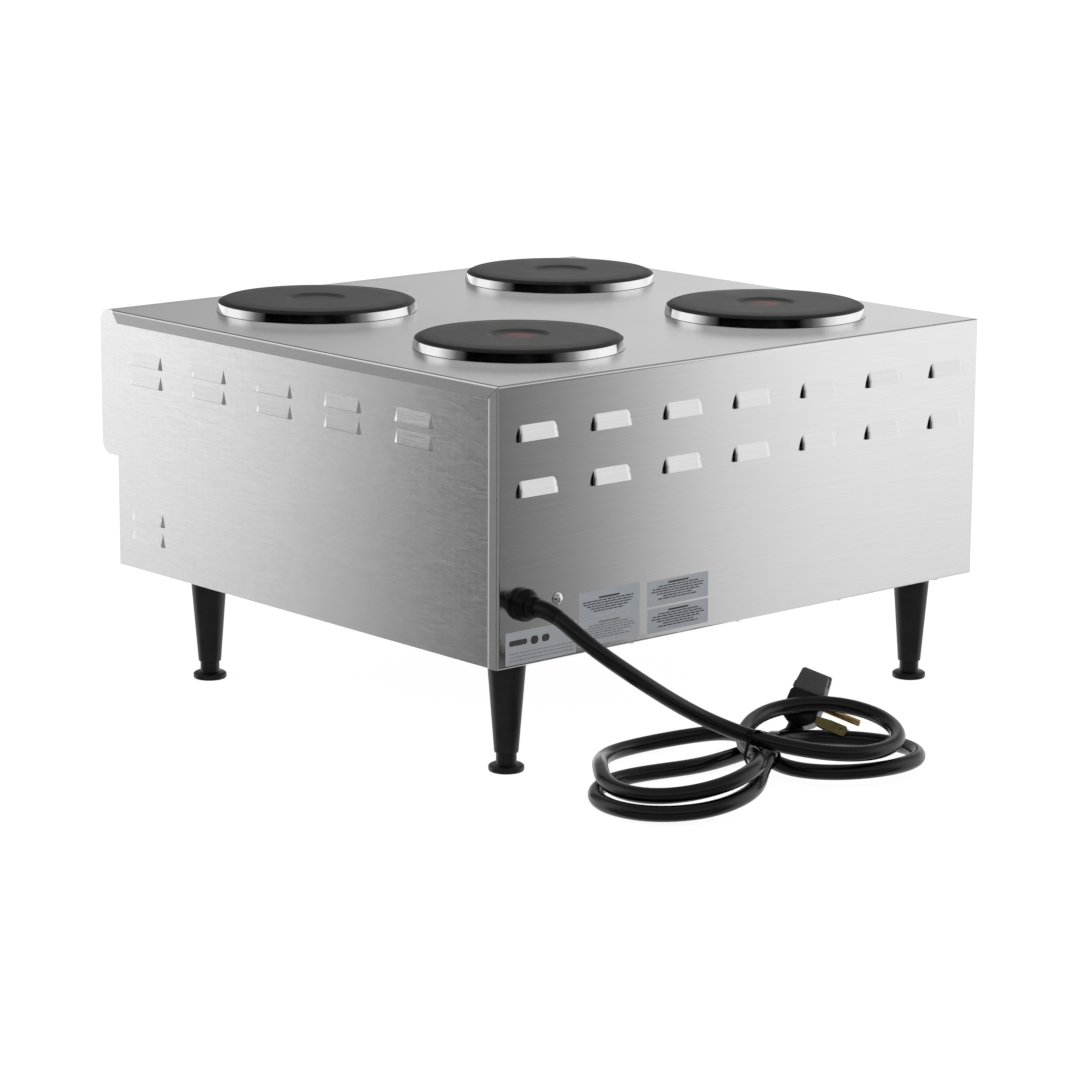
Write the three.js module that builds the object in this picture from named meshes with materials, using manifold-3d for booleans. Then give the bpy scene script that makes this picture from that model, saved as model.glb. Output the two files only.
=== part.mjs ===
// A countertop electric hot plate with four cast-iron plates, on four adjustable legs.
// Millimetres, +Z up. The controls face -Y and the mains cord leaves the back, towards +Y.
// The origin is on the floor under the middle of the unit, measured without the mains cord.
import * as THREE from "three";
import Module from "manifold-3d";
import { ConvexGeometry } from "three/addons/geometries/ConvexGeometry.js";
import { mergeVertices } from "three/addons/utils/BufferGeometryUtils.js";

const wasm = await Module();
wasm.setup();

// Body
const WIDTH = 610;
const DEPTH = 566;
const DECK_Z = 354.5; // top of the deck
const BODY_Z = 104.5; // underside of the body, so the height of the legs
const BACK_Y = 307;
const FRONT_Y = BACK_Y - DEPTH;
const SHEET = 1.2; // thickness of the stainless sheet
const GAP = 0.3; // gap between pieces that touch
const BEND = 3; // outer radius of the bend between the deck and the back
const EDGE_BEND = 2.4; // outer radius of the bends down both sides
const FOOT_BEND = 2; // outer radius of the bend along the back's underside
const SIDE_FLANGE = 12; // height of the deck's folded edge over the sides
const BACK_FLANGE = 14; // width of the back panel's folded edge over the sides
const RETURN = 12; // width of the flanges along the underside
const FLANGE_SLOPE = { wide: 2.5, deep: 0.6 }; // the pressed-down free edge of the back's flanges
const MITRE = { wide: 0.8, deep: 0.6 }; // the open joint between the deck's and the back's flanges
const PANEL_X = WIDTH / 2 - SHEET - GAP; // outer face of a side panel
const INNER_X = PANEL_X - SHEET - GAP; // half the width of what fits between the side panels

// Control box, which overhangs the front
const FASCIA_Y = FRONT_Y - 26;
const BOX_Z = 212;
const BOX_RADIUS = 13;
const SEAM_Y = FRONT_Y - 5; // front edge of the deck
const KNOB_XS = [-225, -75, 75, 225];
const KNOB_Z = 272;
const LAMP_Z = 323;

// Plates
const PLATES = {
  rear_right: [146.6, 152.5],
  rear_left: [-170, 152.5],
  front_right: [146.6, -144.9],
  front_left: [-170, -144.9],
};
const PLATE_TOP = 11.7; // above the deck
const PLATE_RADIUS = 94.8;
const PLATE_BODY_RADIUS = 87; // the part that reaches down through the deck
const PLATE_BODY_DEPTH = 5;
const DECK_HOLE_RADIUS = 88;
const RING_RADIUS = 97.3;
const PLATE_SIDES = 32; // facets of the round plates, rings and holes
const STUD_RADIUS = 4;
const STUD_DEPTH = 45;

// Legs
const LEG_X = 261.4;
const LEG_YS = { rear: 269, front: -171 };
const LEG_TOP_RADIUS = 18;
const LEG_END_RADIUS = 11;
const LEG_END_Z = 17;
const FOOT_RADIUS = 16.1;

// Louvres: half lengths along the panel, height and how far they stand out
const SIDE_LOUVRE = { base: 27, top: 23.5, lip: 21.8, height: 12.8, out: 1.8 };
const SIDE_LOUVRE_Y = -210.2; // middle of the front column
const SIDE_LOUVRE_PITCH = 100.6;
const SIDE_LOUVRE_COLUMNS = 5;
const SIDE_LOUVRE_ROWS = [305.6, 286.3];
const LOW_LOUVRE_ROWS = [152.3, 132.8];
const BACK_LOUVRE = { half: 24.5, end: 6.5, height: 14.2, out: 3.2, crown: 0.55 };
const BACK_LOUVRE_PITCH = 86.9;
const BACK_LOUVRE_COLUMNS = 7;
const BACK_LOUVRE_ROWS = [303.9, 254.9];
const LOUVRE_SKIN = 0.7;

// Mains inlet
const GLAND_X = 276;
const GLAND_Z = 160;
const GLAND_RADIUS = 14.8;
const GLAND_BORE = 7.6;
const GLAND_LENGTH = 11.5;
const NUT_LENGTH = 9;
const EARTH_SCREW = [236, 159];
const CORD_RADIUS = 7;
const RELIEF_LENGTH = 26;
const CORD_EXIT_Y = BACK_Y + GLAND_LENGTH + NUT_LENGTH; // 327.5

// Guide points of the cord's spline, from the gland to the plug. It hangs from the gland, lies on the
// floor as two loops on each side of a tie, and the last loop leans on the plug.
const CORD_POINTS = [
  [276, 328, 160],
  [276, 338, 160],
  [276, 359, 155],
  [270, 386, 136],
  [230, 415, 101],
  [167, 426, 59],
  [121, 474, 38],
  [68, 523, 30],
  [2, 510, 30],
  [-29, 457, 38],
  [-10, 401, 45],
  [45, 376, 41],
  [99, 400, 36],
  [132, 438, 28],
  [160, 494, 38],
  [219, 512, 31],
  [270, 479, 20],
  [281, 419, 18],
  [243, 371, 25],
  [207, 333, 11],
  [174, 304, 7],
  [124, 302, 7],
  [84, 334, 16],
  [76, 389, 29],
  [105, 441, 7],
  [70, 521, 15],
  [-14, 526, 14],
  [-56, 455, 8],
  [-20, 390, 7],
  [56, 387, 16],
  [92, 440, 37],
  [141, 465, 16],
  [178, 503, 18],
  [238, 514, 12],
  [288, 475, 8],
  [290, 407, 7],
  [234, 364, 7],
  [164, 385, 8],
  [130, 397, 9],
  [6, 373, 8.8],
];

// Plug: where the cord enters it, and how it leans
const PLUG_ENTRY = [6, 373, 8.8];
const PLUG_YAW = 120.1; // of the blades, from +X
const PLUG_DIP = 17.6; // of the blades, below level
const PLUG_LEAN = 23.5; // sideways
const PLUG_HALF = 16; // from its middle to the face with the blades
const PLUG_WIDTH = 34;
const PLUG_EDGE = 2; // rounding of its edges
const PLUG_LENGTH = 62;
const BLADE = { x: 20, half: 5, thick: 1.7, reach: 46, apart: 23.8 };
const EARTH_PIN = { x: 33, radius: 3.1, reach: 53 };
const PLUG_NECK = 18; // length of cord inside the plug's neck
const PLUG_NECK_RADIUS = 8.2;
const PLUG_NECK_POINTS = [
  [-8, -5.2, -14.6],
  [-4, -2.6, -7.2],
  [0.5, -0.3, -0.5],
  [9, 0, 1],
  [18, 0, 1],
];

const STEEL = { color: 0xb9b9b6, metalness: 1, roughness: 0.35 };
const POLISHED = { color: 0xd5d5d2, metalness: 1, roughness: 0.12 };
const IRON = { color: 0x2b2a29, metalness: 0.3, roughness: 0.6 };
const BLACK = { color: 0x0d0d0d, metalness: 0, roughness: 0.45 };
const RUBBER = { color: 0x101010, metalness: 0, roughness: 0.55 };
const ZINC = { color: 0x9a9a98, metalness: 1, roughness: 0.5 };
const BRASS = { color: 0xb08d4a, metalness: 1, roughness: 0.3 };
const CERAMIC = { color: 0xe6e2d6, metalness: 0, roughness: 0.5 };
const PHENOLIC = { color: 0x2a2320, metalness: 0, roughness: 0.5 };
const LENS = { color: 0xc83a1e, metalness: 0, roughness: 0.15 };

const X_AXIS = new THREE.Vector3(1, 0, 0);
const Y_AXIS = new THREE.Vector3(0, 1, 0);
const Z_AXIS = new THREE.Vector3(0, 0, 1);

const model = new THREE.Group();

// ---- Solids ----

// A closed geometry as a solid for booleans.
function solid(geometry) {
  const bare = geometry.clone();
  bare.deleteAttribute("normal");
  bare.deleteAttribute("uv");
  const merged = mergeVertices(bare, 1e-4);
  const made = new wasm.Manifold(
    new wasm.Mesh({
      numProp: 3,
      vertProperties: new Float32Array(merged.attributes.position.array),
      triVerts: new Uint32Array(merged.index.array),
    }),
  );
  return made;
}

// A solid as a geometry.
function geometryOf(made) {
  const mesh = made.getMesh();
  const geometry = new THREE.BufferGeometry();
  geometry.setAttribute("position", new THREE.BufferAttribute(mesh.vertProperties, 3));
  geometry.setIndex(new THREE.BufferAttribute(mesh.triVerts, 1));
  return geometry;
}

// Adds a solid to the model as a named mesh of one finish.
function piece(name, made, finish) {
  const geometry = geometryOf(made).toNonIndexed();
  geometry.computeVertexNormals();
  const mesh = new THREE.Mesh(geometry, new THREE.MeshStandardMaterial(finish));
  mesh.name = name;
  model.add(mesh);
  return mesh;
}

const joined = (first, ...others) => others.reduce((sum, other) => sum.add(other), first);
const cut = (first, ...tools) => tools.reduce((rest, tool) => rest.subtract(tool), first);

// A block between two corners.
function block(low, high) {
  const size = high.map((value, i) => value - low[i]);
  const middle = high.map((value, i) => (value + low[i]) / 2);
  return solid(new THREE.BoxGeometry(...size).translate(...middle));
}

// A round bar along Y or Z, from one end to the other.
function bar(axis, [a, b], radius, from, to, sides = 16) {
  const geometry = new THREE.CylinderGeometry(radius, radius, to - from, sides);
  const middle = (from + to) / 2;
  if (axis === "y") return solid(geometry.translate(a, middle, b));
  return solid(geometry.rotateX(Math.PI / 2).translate(a, b, middle));
}

// A profile of [radius, height] turned round the Z axis. It starts and ends on the axis or closes.
function turned(profile, sides = 24) {
  const points = profile.map(([r, z]) => new THREE.Vector2(r, z));
  const geometry = new THREE.LatheGeometry(points, sides).rotateX(Math.PI / 2);
  return solid(geometry);
}

// A shape in the YZ plane, extruded along X.
function alongX(shape, from, to, curveSegments = 4) {
  const geometry = new THREE.ExtrudeGeometry(shape, {
    depth: to - from,
    bevelEnabled: false,
    curveSegments,
  });
  geometry.applyMatrix4(new THREE.Matrix4().makeBasis(Y_AXIS, Z_AXIS, X_AXIS));
  return solid(geometry.translate(from, 0, 0));
}

// A shape in the XZ plane, extruded along Y.
function alongY(shape, from, to, curveSegments = 4) {
  const settings = { depth: to - from, bevelEnabled: false, curveSegments };
  const geometry = new THREE.ExtrudeGeometry(shape, settings);
  const back = Y_AXIS.clone().negate();
  geometry.applyMatrix4(new THREE.Matrix4().makeBasis(X_AXIS, Z_AXIS, back));
  return solid(geometry.translate(0, to, 0));
}

// A shape in the XY plane, extruded along Z.
function alongZ(shape, from, to, curveSegments = 4) {
  const settings = { depth: to - from, bevelEnabled: false, curveSegments };
  const geometry = new THREE.ExtrudeGeometry(shape, settings);
  return solid(geometry.translate(0, 0, from));
}

// A half-width and a height as a rectangle whose two far corners are round.
function archShape(half, from, to, radius) {
  const shape = new THREE.Shape();
  shape.moveTo(-half, from);
  shape.lineTo(half, from);
  shape.absarc(half - radius, to - radius, radius, 0, Math.PI / 2, false);
  shape.absarc(-half + radius, to - radius, radius, Math.PI / 2, Math.PI, false);
  return shape;
}

const outline = (points) => new THREE.Shape(points.map(([a, b]) => new THREE.Vector2(a, b)));

// The convex solid round points given as [along, up, out] on a panel.
function hull(points, placed) {
  const corners = points.map((point) => new THREE.Vector3(...point).applyMatrix4(placed));
  return solid(new ConvexGeometry(corners));
}

// The frame of a panel: where its point (0, 0, 0) is, and which way along, up and out go.
function onPanel(origin, along, out) {
  return new THREE.Matrix4().makeBasis(along, Z_AXIS, out).setPosition(...origin);
}

// ---- Louvres ----

// Both solids of a pressed louvre with flat faces: the hood, and the space under it.
function sideLouvre(placed) {
  const { base, top, lip, height, out } = SIDE_LOUVRE;
  const both = (half, up, away) => [
    [-half, up, away],
    [half, up, away],
  ];
  const sunk = -SHEET / 2;
  const through = -SHEET - 1;
  const hood = [
    ...both(base, 0, sunk),
    ...both(top, height, sunk),
    ...both(base, 0, 0),
    ...both(top, height, 0),
    ...both(lip, 0, out),
  ];
  const skin = 2 * LOUVRE_SKIN;
  const space = [
    ...both(base - skin, -LOUVRE_SKIN, through),
    ...both(top - skin, height - skin, through),
    ...both(base - skin, -LOUVRE_SKIN, 0),
    ...both(top - skin, height - skin, 0),
    ...both(lip - LOUVRE_SKIN, -LOUVRE_SKIN, out - LOUVRE_SKIN),
  ];
  return [hull(hood, placed), hull(space, placed)];
}

// The points of a hood with rounded ends: its outline on the panel, its lip, and a crowned line
// halfway between them. half is the straight half of the lip.
function hoodPoints(half, end, height, out, crown, steps) {
  const points = [];
  for (let i = 0; i <= steps; i++) {
    const turn = (i / steps) * (Math.PI / 2);
    const [along, rise] = [Math.cos(turn), Math.sin(turn)];
    for (const side of [-1, 1]) {
      points.push([side * (half + end * along), height * rise, 0]);
      points.push([side * (half + end * along), 0, out * rise]);
      points.push([side * (half + end * 0.8 * along), height * 0.5 * rise, out * crown * rise]);
    }
  }
  return points;
}

// Both solids of a drawn louvre with rounded ends.
function backLouvre(placed) {
  const { half, end, height, out, crown } = BACK_LOUVRE;
  const hood = hoodPoints(half - end, end, height, out, crown, 4);
  const sunk = hood.map(([along, up]) => [along, up, -SHEET / 2]);
  const skin = 2 * LOUVRE_SKIN;
  const inner = hoodPoints(half - end, end - skin, height - skin, out - LOUVRE_SKIN, crown, 2);
  const space = inner.map(([along, up, away]) => [along, up - LOUVRE_SKIN, away]);
  const through = space.map(([along, up]) => [along, up, -SHEET - 1]);
  return [hull([...hood, ...sunk], placed), hull([...space, ...through], placed)];
}

// Presses louvres into a panel at the given frames.
function pressed(panel, louvre, frames) {
  const pairs = frames.map(louvre);
  const hooded = joined(panel, ...pairs.map(([hood]) => hood));
  return cut(hooded, ...pairs.map(([, space]) => space));
}

// ---- Casing ----

// What is cut from the flanges on one side: the slope along the free edge of the back's flange, and
// the open mitre where it meets the deck's flange. side is 1 on the right, -1 on the left.
function flangeCuts(side) {
  const outer = (side * WIDTH) / 2;
  const free = BACK_Y - BACK_FLANGE;
  const foot = DECK_Z - SIDE_FLANGE;
  const slope = outline([
    [outer - side * FLANGE_SLOPE.deep, free - 1],
    [outer - side * FLANGE_SLOPE.deep, free],
    [outer, free + FLANGE_SLOPE.wide],
    [outer + side, free + FLANGE_SLOPE.wide],
    [outer + side, free - 1],
  ]);
  const half = MITRE.wide / 2;
  const mitre = outline([
    [free, foot - half],
    [BACK_Y, DECK_Z - half],
    [BACK_Y, DECK_Z + half],
    [free, foot + half],
  ]);
  const faces = [outer - side * MITRE.deep, outer + side].sort((a, b) => a - b);
  return [alongZ(slope, BODY_Z - 1, foot), alongX(mitre, ...faces)];
}

// The deck and the back panel, one sheet bent over the back edge.
function deckAndBack() {
  const sheet = new THREE.Shape();
  const centre = [BACK_Y - BEND, DECK_Z - BEND];
  sheet.moveTo(SEAM_Y, DECK_Z - SHEET);
  sheet.lineTo(SEAM_Y, DECK_Z);
  sheet.absarc(...centre, BEND, Math.PI / 2, 0, true);
  sheet.lineTo(BACK_Y, BODY_Z);
  sheet.lineTo(BACK_Y - SHEET, BODY_Z);
  sheet.absarc(...centre, BEND - SHEET, 0, Math.PI / 2, false);

  const edge = new THREE.Shape();
  edge.moveTo(SEAM_Y + SIDE_FLANGE * 0.75, DECK_Z - SIDE_FLANGE);
  edge.lineTo(SEAM_Y, DECK_Z);
  edge.absarc(...centre, BEND, Math.PI / 2, 0, true);
  edge.lineTo(BACK_Y, BODY_Z);
  edge.lineTo(BACK_Y - BACK_FLANGE, BODY_Z);
  edge.lineTo(BACK_Y - BACK_FLANGE, DECK_Z - SIDE_FLANGE);

  const outer = WIDTH / 2;
  const bent = alongY(archShape(outer, BODY_Z - 1, DECK_Z, EDGE_BEND), SEAM_Y - 1, BACK_Y + 1);
  const upright = alongZ(archShape(outer, SEAM_Y - 1, BACK_Y, EDGE_BEND), BODY_Z - 1, DECK_Z + 1);
  const rolled = new THREE.Shape();
  rolled.moveTo(SEAM_Y - 1, DECK_Z + 1);
  rolled.lineTo(SEAM_Y - 1, BODY_Z);
  rolled.absarc(BACK_Y - FOOT_BEND, BODY_Z + FOOT_BEND, FOOT_BEND, -Math.PI / 2, 0, false);
  rolled.lineTo(BACK_Y, DECK_Z + 1);
  const underside = block(
    [-INNER_X + RETURN, BACK_Y - RETURN, BODY_Z],
    [INNER_X - RETURN, BACK_Y - SHEET / 2, BODY_Z + SHEET],
  );
  const folded = joined(
    alongX(sheet, -outer, outer),
    alongX(edge, -outer, -outer + SHEET),
    alongX(edge, outer - SHEET, outer),
    underside,
  )
    .intersect(bent)
    .intersect(upright)
    .intersect(alongX(rolled, -outer - 1, outer + 1));
  const holes = Object.values(PLATES).map((centre) =>
    bar("z", centre, DECK_HOLE_RADIUS, DECK_Z - 10, DECK_Z + 10, PLATE_SIDES),
  );
  const inlet = bar("y", [GLAND_X, GLAND_Z], 10.4, BACK_Y - 5, BACK_Y + 5);
  const earth = bar("y", EARTH_SCREW, 2.4, BACK_Y - 5, BACK_Y + 5, 12);

  const frames = [];
  const middle = (BACK_LOUVRE_COLUMNS - 1) / 2;
  for (let i = 0; i < BACK_LOUVRE_COLUMNS; i++)
    for (const z of BACK_LOUVRE_ROWS)
      frames.push(onPanel([(i - middle) * BACK_LOUVRE_PITCH, BACK_Y, z], X_AXIS.clone().negate(), Y_AXIS));
  const cuts = [...holes, inlet, earth, ...flangeCuts(1), ...flangeCuts(-1)];
  piece("deck_and_back", pressed(cut(folded, ...cuts), backLouvre, frames), STEEL);
}

// A side panel, which also closes the end of the control box. side is 1 on the right, -1 on the left.
function sidePanel(name, side) {
  const rear = BACK_Y - SHEET - GAP;
  const top = DECK_Z - SHEET - GAP;
  const shape = new THREE.Shape();
  shape.moveTo(rear, BODY_Z);
  shape.lineTo(rear, top - BEND);
  shape.lineTo(rear - BEND, top);
  shape.lineTo(SEAM_Y - GAP, top);
  shape.lineTo(SEAM_Y - GAP, DECK_Z);
  shape.absarc(FASCIA_Y + BOX_RADIUS, DECK_Z - BOX_RADIUS, BOX_RADIUS, Math.PI / 2, Math.PI, false);
  shape.absarc(FASCIA_Y + BOX_RADIUS, BOX_Z + BOX_RADIUS, BOX_RADIUS, Math.PI, Math.PI * 1.5, false);
  shape.lineTo(FRONT_Y, BOX_Z);
  shape.lineTo(FRONT_Y, BODY_Z);

  const faces = [side * (PANEL_X - SHEET), side * PANEL_X].sort((a, b) => a - b);
  const ledges = [side * (INNER_X + GAP - RETURN), side * (PANEL_X - SHEET / 2)].sort((a, b) => a - b);
  const underside = block(
    [ledges[0], FRONT_Y + RETURN + 3, BODY_Z],
    [ledges[1], BACK_Y - RETURN - 3, BODY_Z + SHEET],
  );
  const panel = joined(alongX(shape, ...faces), underside);

  const along = Y_AXIS.clone().multiplyScalar(side);
  const out = X_AXIS.clone().multiplyScalar(side);
  const frames = LOW_LOUVRE_ROWS.map((z) => onPanel([side * PANEL_X, SIDE_LOUVRE_Y, z], along, out));
  for (let i = 0; i < SIDE_LOUVRE_COLUMNS; i++)
    for (const z of SIDE_LOUVRE_ROWS)
      frames.push(onPanel([side * PANEL_X, SIDE_LOUVRE_Y + i * SIDE_LOUVRE_PITCH, z], along, out));
  piece(name, pressed(panel, sideLouvre, frames), STEEL);
}

// The sheet round the front of the control box, with the holes for the switches and lamps.
function controlPanel() {
  const shape = new THREE.Shape();
  const top = [FASCIA_Y + BOX_RADIUS, DECK_Z - BOX_RADIUS];
  const foot = [FASCIA_Y + BOX_RADIUS, BOX_Z + BOX_RADIUS];
  const inner = BOX_RADIUS - SHEET;
  shape.moveTo(SEAM_Y - GAP, DECK_Z - SHEET);
  shape.lineTo(SEAM_Y - GAP, DECK_Z);
  shape.absarc(...top, BOX_RADIUS, Math.PI / 2, Math.PI, false);
  shape.absarc(...foot, BOX_RADIUS, Math.PI, Math.PI * 1.5, false);
  shape.lineTo(FRONT_Y - GAP, BOX_Z);
  shape.lineTo(FRONT_Y - GAP, BOX_Z + SHEET);
  shape.absarc(...foot, inner, Math.PI * 1.5, Math.PI, true);
  shape.absarc(...top, inner, Math.PI, Math.PI / 2, true);
  const holes = KNOB_XS.flatMap((x) => [
    bar("y", [x, KNOB_Z], 5.6, FASCIA_Y - 5, FASCIA_Y + 5),
    bar("y", [x, LAMP_Z], 5.2, FASCIA_Y - 5, FASCIA_Y + 5),
  ]);
  piece("control_panel", cut(alongX(shape, -INNER_X, INNER_X), ...holes), STEEL);
}

// The recessed sheet under the control box.
function lowerFrontPanel() {
  const face = block([-INNER_X, FRONT_Y, BODY_Z], [INNER_X, FRONT_Y + SHEET, BOX_Z + 14]);
  const underside = block(
    [-INNER_X + RETURN, FRONT_Y, BODY_Z],
    [INNER_X - RETURN, FRONT_Y + RETURN, BODY_Z + SHEET],
  );
  piece("lower_front_panel", joined(face, underside), STEEL);
}

// A tray above the panels' undersides, with air slots and holes for the legs' bolts.
function basePan() {
  const low = BODY_Z + SHEET + GAP;
  const front = FRONT_Y + SHEET + GAP;
  const rear = BACK_Y - SHEET - GAP;
  const tray = block([-INNER_X, front, low], [INNER_X, rear, low + 16]);
  const hollow = block(
    [-INNER_X + SHEET, front + SHEET, low + SHEET],
    [INNER_X - SHEET, rear - SHEET, low + 30],
  );
  const slots = [];
  for (const y of [-110, 24, 158])
    for (let i = -2; i <= 2; i++)
      slots.push(block([i * 90 - 30, y - 4, low - 5], [i * 90 + 30, y + 4, low + 5]));
  const bolts = legPlaces().map(([, centre]) => bar("z", centre, 4.5, low - 5, low + 5, 12));
  piece("base_pan", cut(tray, hollow, ...slots, ...bolts), ZINC);
}

// A level sheet that keeps the plates' heat from the switches and wiring.
function heatShield() {
  const z = 305;
  const sheet = block([-INNER_X, FRONT_Y + 3, z], [INNER_X, BACK_Y - 12, z + 1]);
  const edges = [-1, 1].map((side) => {
    const xs = [side * INNER_X, side * (INNER_X - 1)].sort((a, b) => a - b);
    return block([xs[0], FRONT_Y + 3, z - 14], [xs[1], BACK_Y - 12, z + 0.5]);
  });
  const wires = KNOB_XS.map((x) => block([x - 12, -215, z - 5], [x + 12, -190, z + 5]));
  piece("heat_shield", cut(joined(sheet, ...edges), ...wires), ZINC);
}

// ---- Plates ----

// Cast-iron disc with a shallow dished centre, a round shoulder and a stud underneath.
function castPlate(name, [x, y]) {
  const low = DECK_Z - PLATE_BODY_DEPTH;
  const top = DECK_Z + PLATE_TOP;
  const profile = [
    [0, DECK_Z - STUD_DEPTH],
    [STUD_RADIUS, DECK_Z - STUD_DEPTH],
    [STUD_RADIUS, low],
    [PLATE_BODY_RADIUS, low],
    [PLATE_BODY_RADIUS, DECK_Z + 1.6],
    [PLATE_RADIUS, DECK_Z + 1.6],
    [PLATE_RADIUS, top - 3.6],
    [PLATE_RADIUS - 1, top - 1.4],
    [PLATE_RADIUS - 4.2, top],
    [29, top],
    [25, top - 1.5],
    [0, top - 2.1],
  ];
  const mesh = piece(name, turned(profile, PLATE_SIDES), IRON);
  mesh.position.set(x, y, 0);
}

// Polished ring that stands on the deck round a plate and catches what boils over.
function spillRing(name, [x, y]) {
  const foot = DECK_Z + GAP;
  const profile = [
    [DECK_HOLE_RADIUS + 1, foot],
    [RING_RADIUS + 0.7, foot],
    [RING_RADIUS - 1.4, foot + 8.3],
    [RING_RADIUS - 2.1, foot + 8.3],
    [RING_RADIUS - 2.1, foot + 1],
    [DECK_HOLE_RADIUS + 1, foot + 1],
    [DECK_HOLE_RADIUS + 1, foot],
  ];
  const mesh = piece(name, turned(profile, PLATE_SIDES), POLISHED);
  mesh.position.set(x, y, 0);
}

// Bar under the deck that the stud pulls up, with its nut.
function clampBar(name, [x, y]) {
  const reach = 97;
  const low = DECK_Z - 36;
  const high = DECK_Z - SHEET - GAP;
  const shape = outline([
    [-reach, low],
    [reach, low],
    [reach, high],
    [reach - 4, high],
    [reach - 4, low + 4],
    [-reach + 4, low + 4],
    [-reach + 4, high],
    [-reach, high],
  ]);
  const nut = bar("z", [0, 0], 7.5, low - 6, low + 1, 6);
  const bore = bar("z", [0, 0], STUD_RADIUS + GAP, low - 10, low + 10, 12);
  const mesh = piece(name, cut(joined(alongY(shape, -12, 12), nut), bore), ZINC);
  mesh.position.set(x, y, 0);
}

// Ceramic block with the ends of the heating coils.
function plateTerminal(name, [x, y]) {
  const high = DECK_Z - PLATE_BODY_DEPTH - GAP;
  const body = block([-22, -9, high - 13], [22, 9, high]);
  const tabs = [-15, -5, 5, 15].map((dx) => block([dx - 3, -0.4, high - 22], [dx + 3, 0.4, high - 12]));
  const mesh = piece(name, joined(body, ...tabs), CERAMIC);
  mesh.position.set(x, y + 38, 0);
}

// ---- Controls ----

// Rotary switch with a threaded neck through the panel and tabs behind.
function heatSwitch(name, x) {
  const front = FASCIA_Y + SHEET + GAP;
  const body = block([x - 22, front, KNOB_Z - 22], [x + 22, front + 30, KNOB_Z + 22]);
  const neck = bar("y", [x, KNOB_Z], 5, FASCIA_Y - 3, front + 1);
  const tabs = [-15, -5, 5, 15].map((dx) =>
    block([x + dx - 3, front + 29, KNOB_Z - 10], [x + dx + 3, front + 40, KNOB_Z - 9.2]),
  );
  const bore = bar("y", [x, KNOB_Z], 3.3, FASCIA_Y - 6, front + 14);
  piece(name, cut(joined(body, neck, ...tabs), bore), PHENOLIC);
}

// Switch shaft with a flat for the knob.
function shaft(name, x) {
  const front = FASCIA_Y - 17;
  const round = bar("y", [x, KNOB_Z], 3, front, FASCIA_Y + 14);
  const flat = block([x - 5, front - 1, KNOB_Z + 1.6], [x + 5, front + 10, KNOB_Z + 5]);
  piece(name, cut(round, flat), ZINC);
}

// Knob with a skirt and a raised grip that points up when off.
function knob(name, x) {
  const profile = [
    [0, 4],
    [23, 4],
    [23.5, 5],
    [22.5, 9],
    [17.5, 11.5],
    [16, 18.5],
    [15, 19.5],
    [0, 19.5],
  ];
  const grip = new THREE.Shape();
  grip.moveTo(-5, -15);
  grip.lineTo(5, -15);
  grip.lineTo(5, 15);
  grip.absarc(0, 15, 5, 0, Math.PI, false);
  const raised = new THREE.ExtrudeGeometry(grip, { depth: 14, bevelEnabled: false, curveSegments: 4 });
  const bore = bar("z", [0, 0], 3.35, 0, 17.6, 16);
  const body = cut(joined(turned(profile), solid(raised.translate(0, 0, 12))), bore);
  const mesh = piece(name, body, BLACK);
  mesh.rotation.x = Math.PI / 2;
  mesh.position.set(x, FASCIA_Y, KNOB_Z);
}

// Indicator lamp pushed through the panel.
function lamp(name, x) {
  const profile = [
    [0, -22],
    [4.8, -22],
    [4.8, 0.4],
    [6.5, 0.4],
    [6.5, 1.8],
    [5.2, 2.2],
    [4.2, 4.6],
    [2.4, 6],
    [0, 6.5],
  ];
  const mesh = piece(name, turned(profile, 20), LENS);
  mesh.rotation.x = Math.PI / 2;
  mesh.position.set(x, FASCIA_Y, LAMP_Z);
}

// ---- Legs ----

// Where each leg stands: its name and its centre.
function legPlaces() {
  return Object.entries(LEG_YS).flatMap(([end, y]) => [
    [`${end}_right`, [LEG_X, y]],
    [`${end}_left`, [-LEG_X, y]],
  ]);
}

// Tapered leg with a threaded socket for the foot.
function leg(name, [x, y]) {
  const top = BODY_Z + SHEET;
  const profile = [
    [0, top - 40],
    [4.5, top - 40],
    [4.5, LEG_END_Z],
    [LEG_END_RADIUS - 0.8, LEG_END_Z],
    [LEG_END_RADIUS, LEG_END_Z + 0.8],
    [LEG_TOP_RADIUS, top],
    [0, top],
  ];
  const mesh = piece(name, turned(profile, 20), BLACK);
  mesh.position.set(x, y, 0);
}

// Adjustable foot: a disc with a neck and a threaded stem.
function foot(name, [x, y]) {
  const profile = [
    [0, 0],
    [FOOT_RADIUS - 0.5, 0],
    [FOOT_RADIUS, 1],
    [FOOT_RADIUS, 4.6],
    [FOOT_RADIUS - 1.6, 6],
    [9.2, 6.8],
    [9.2, LEG_END_Z - GAP],
    [4, LEG_END_Z - GAP],
    [4, LEG_END_Z + 36],
    [0, LEG_END_Z + 36],
  ];
  const mesh = piece(name, turned(profile, 20), BLACK);
  mesh.position.set(x, y, 0);
}

// ---- Mains inlet and cord ----

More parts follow.
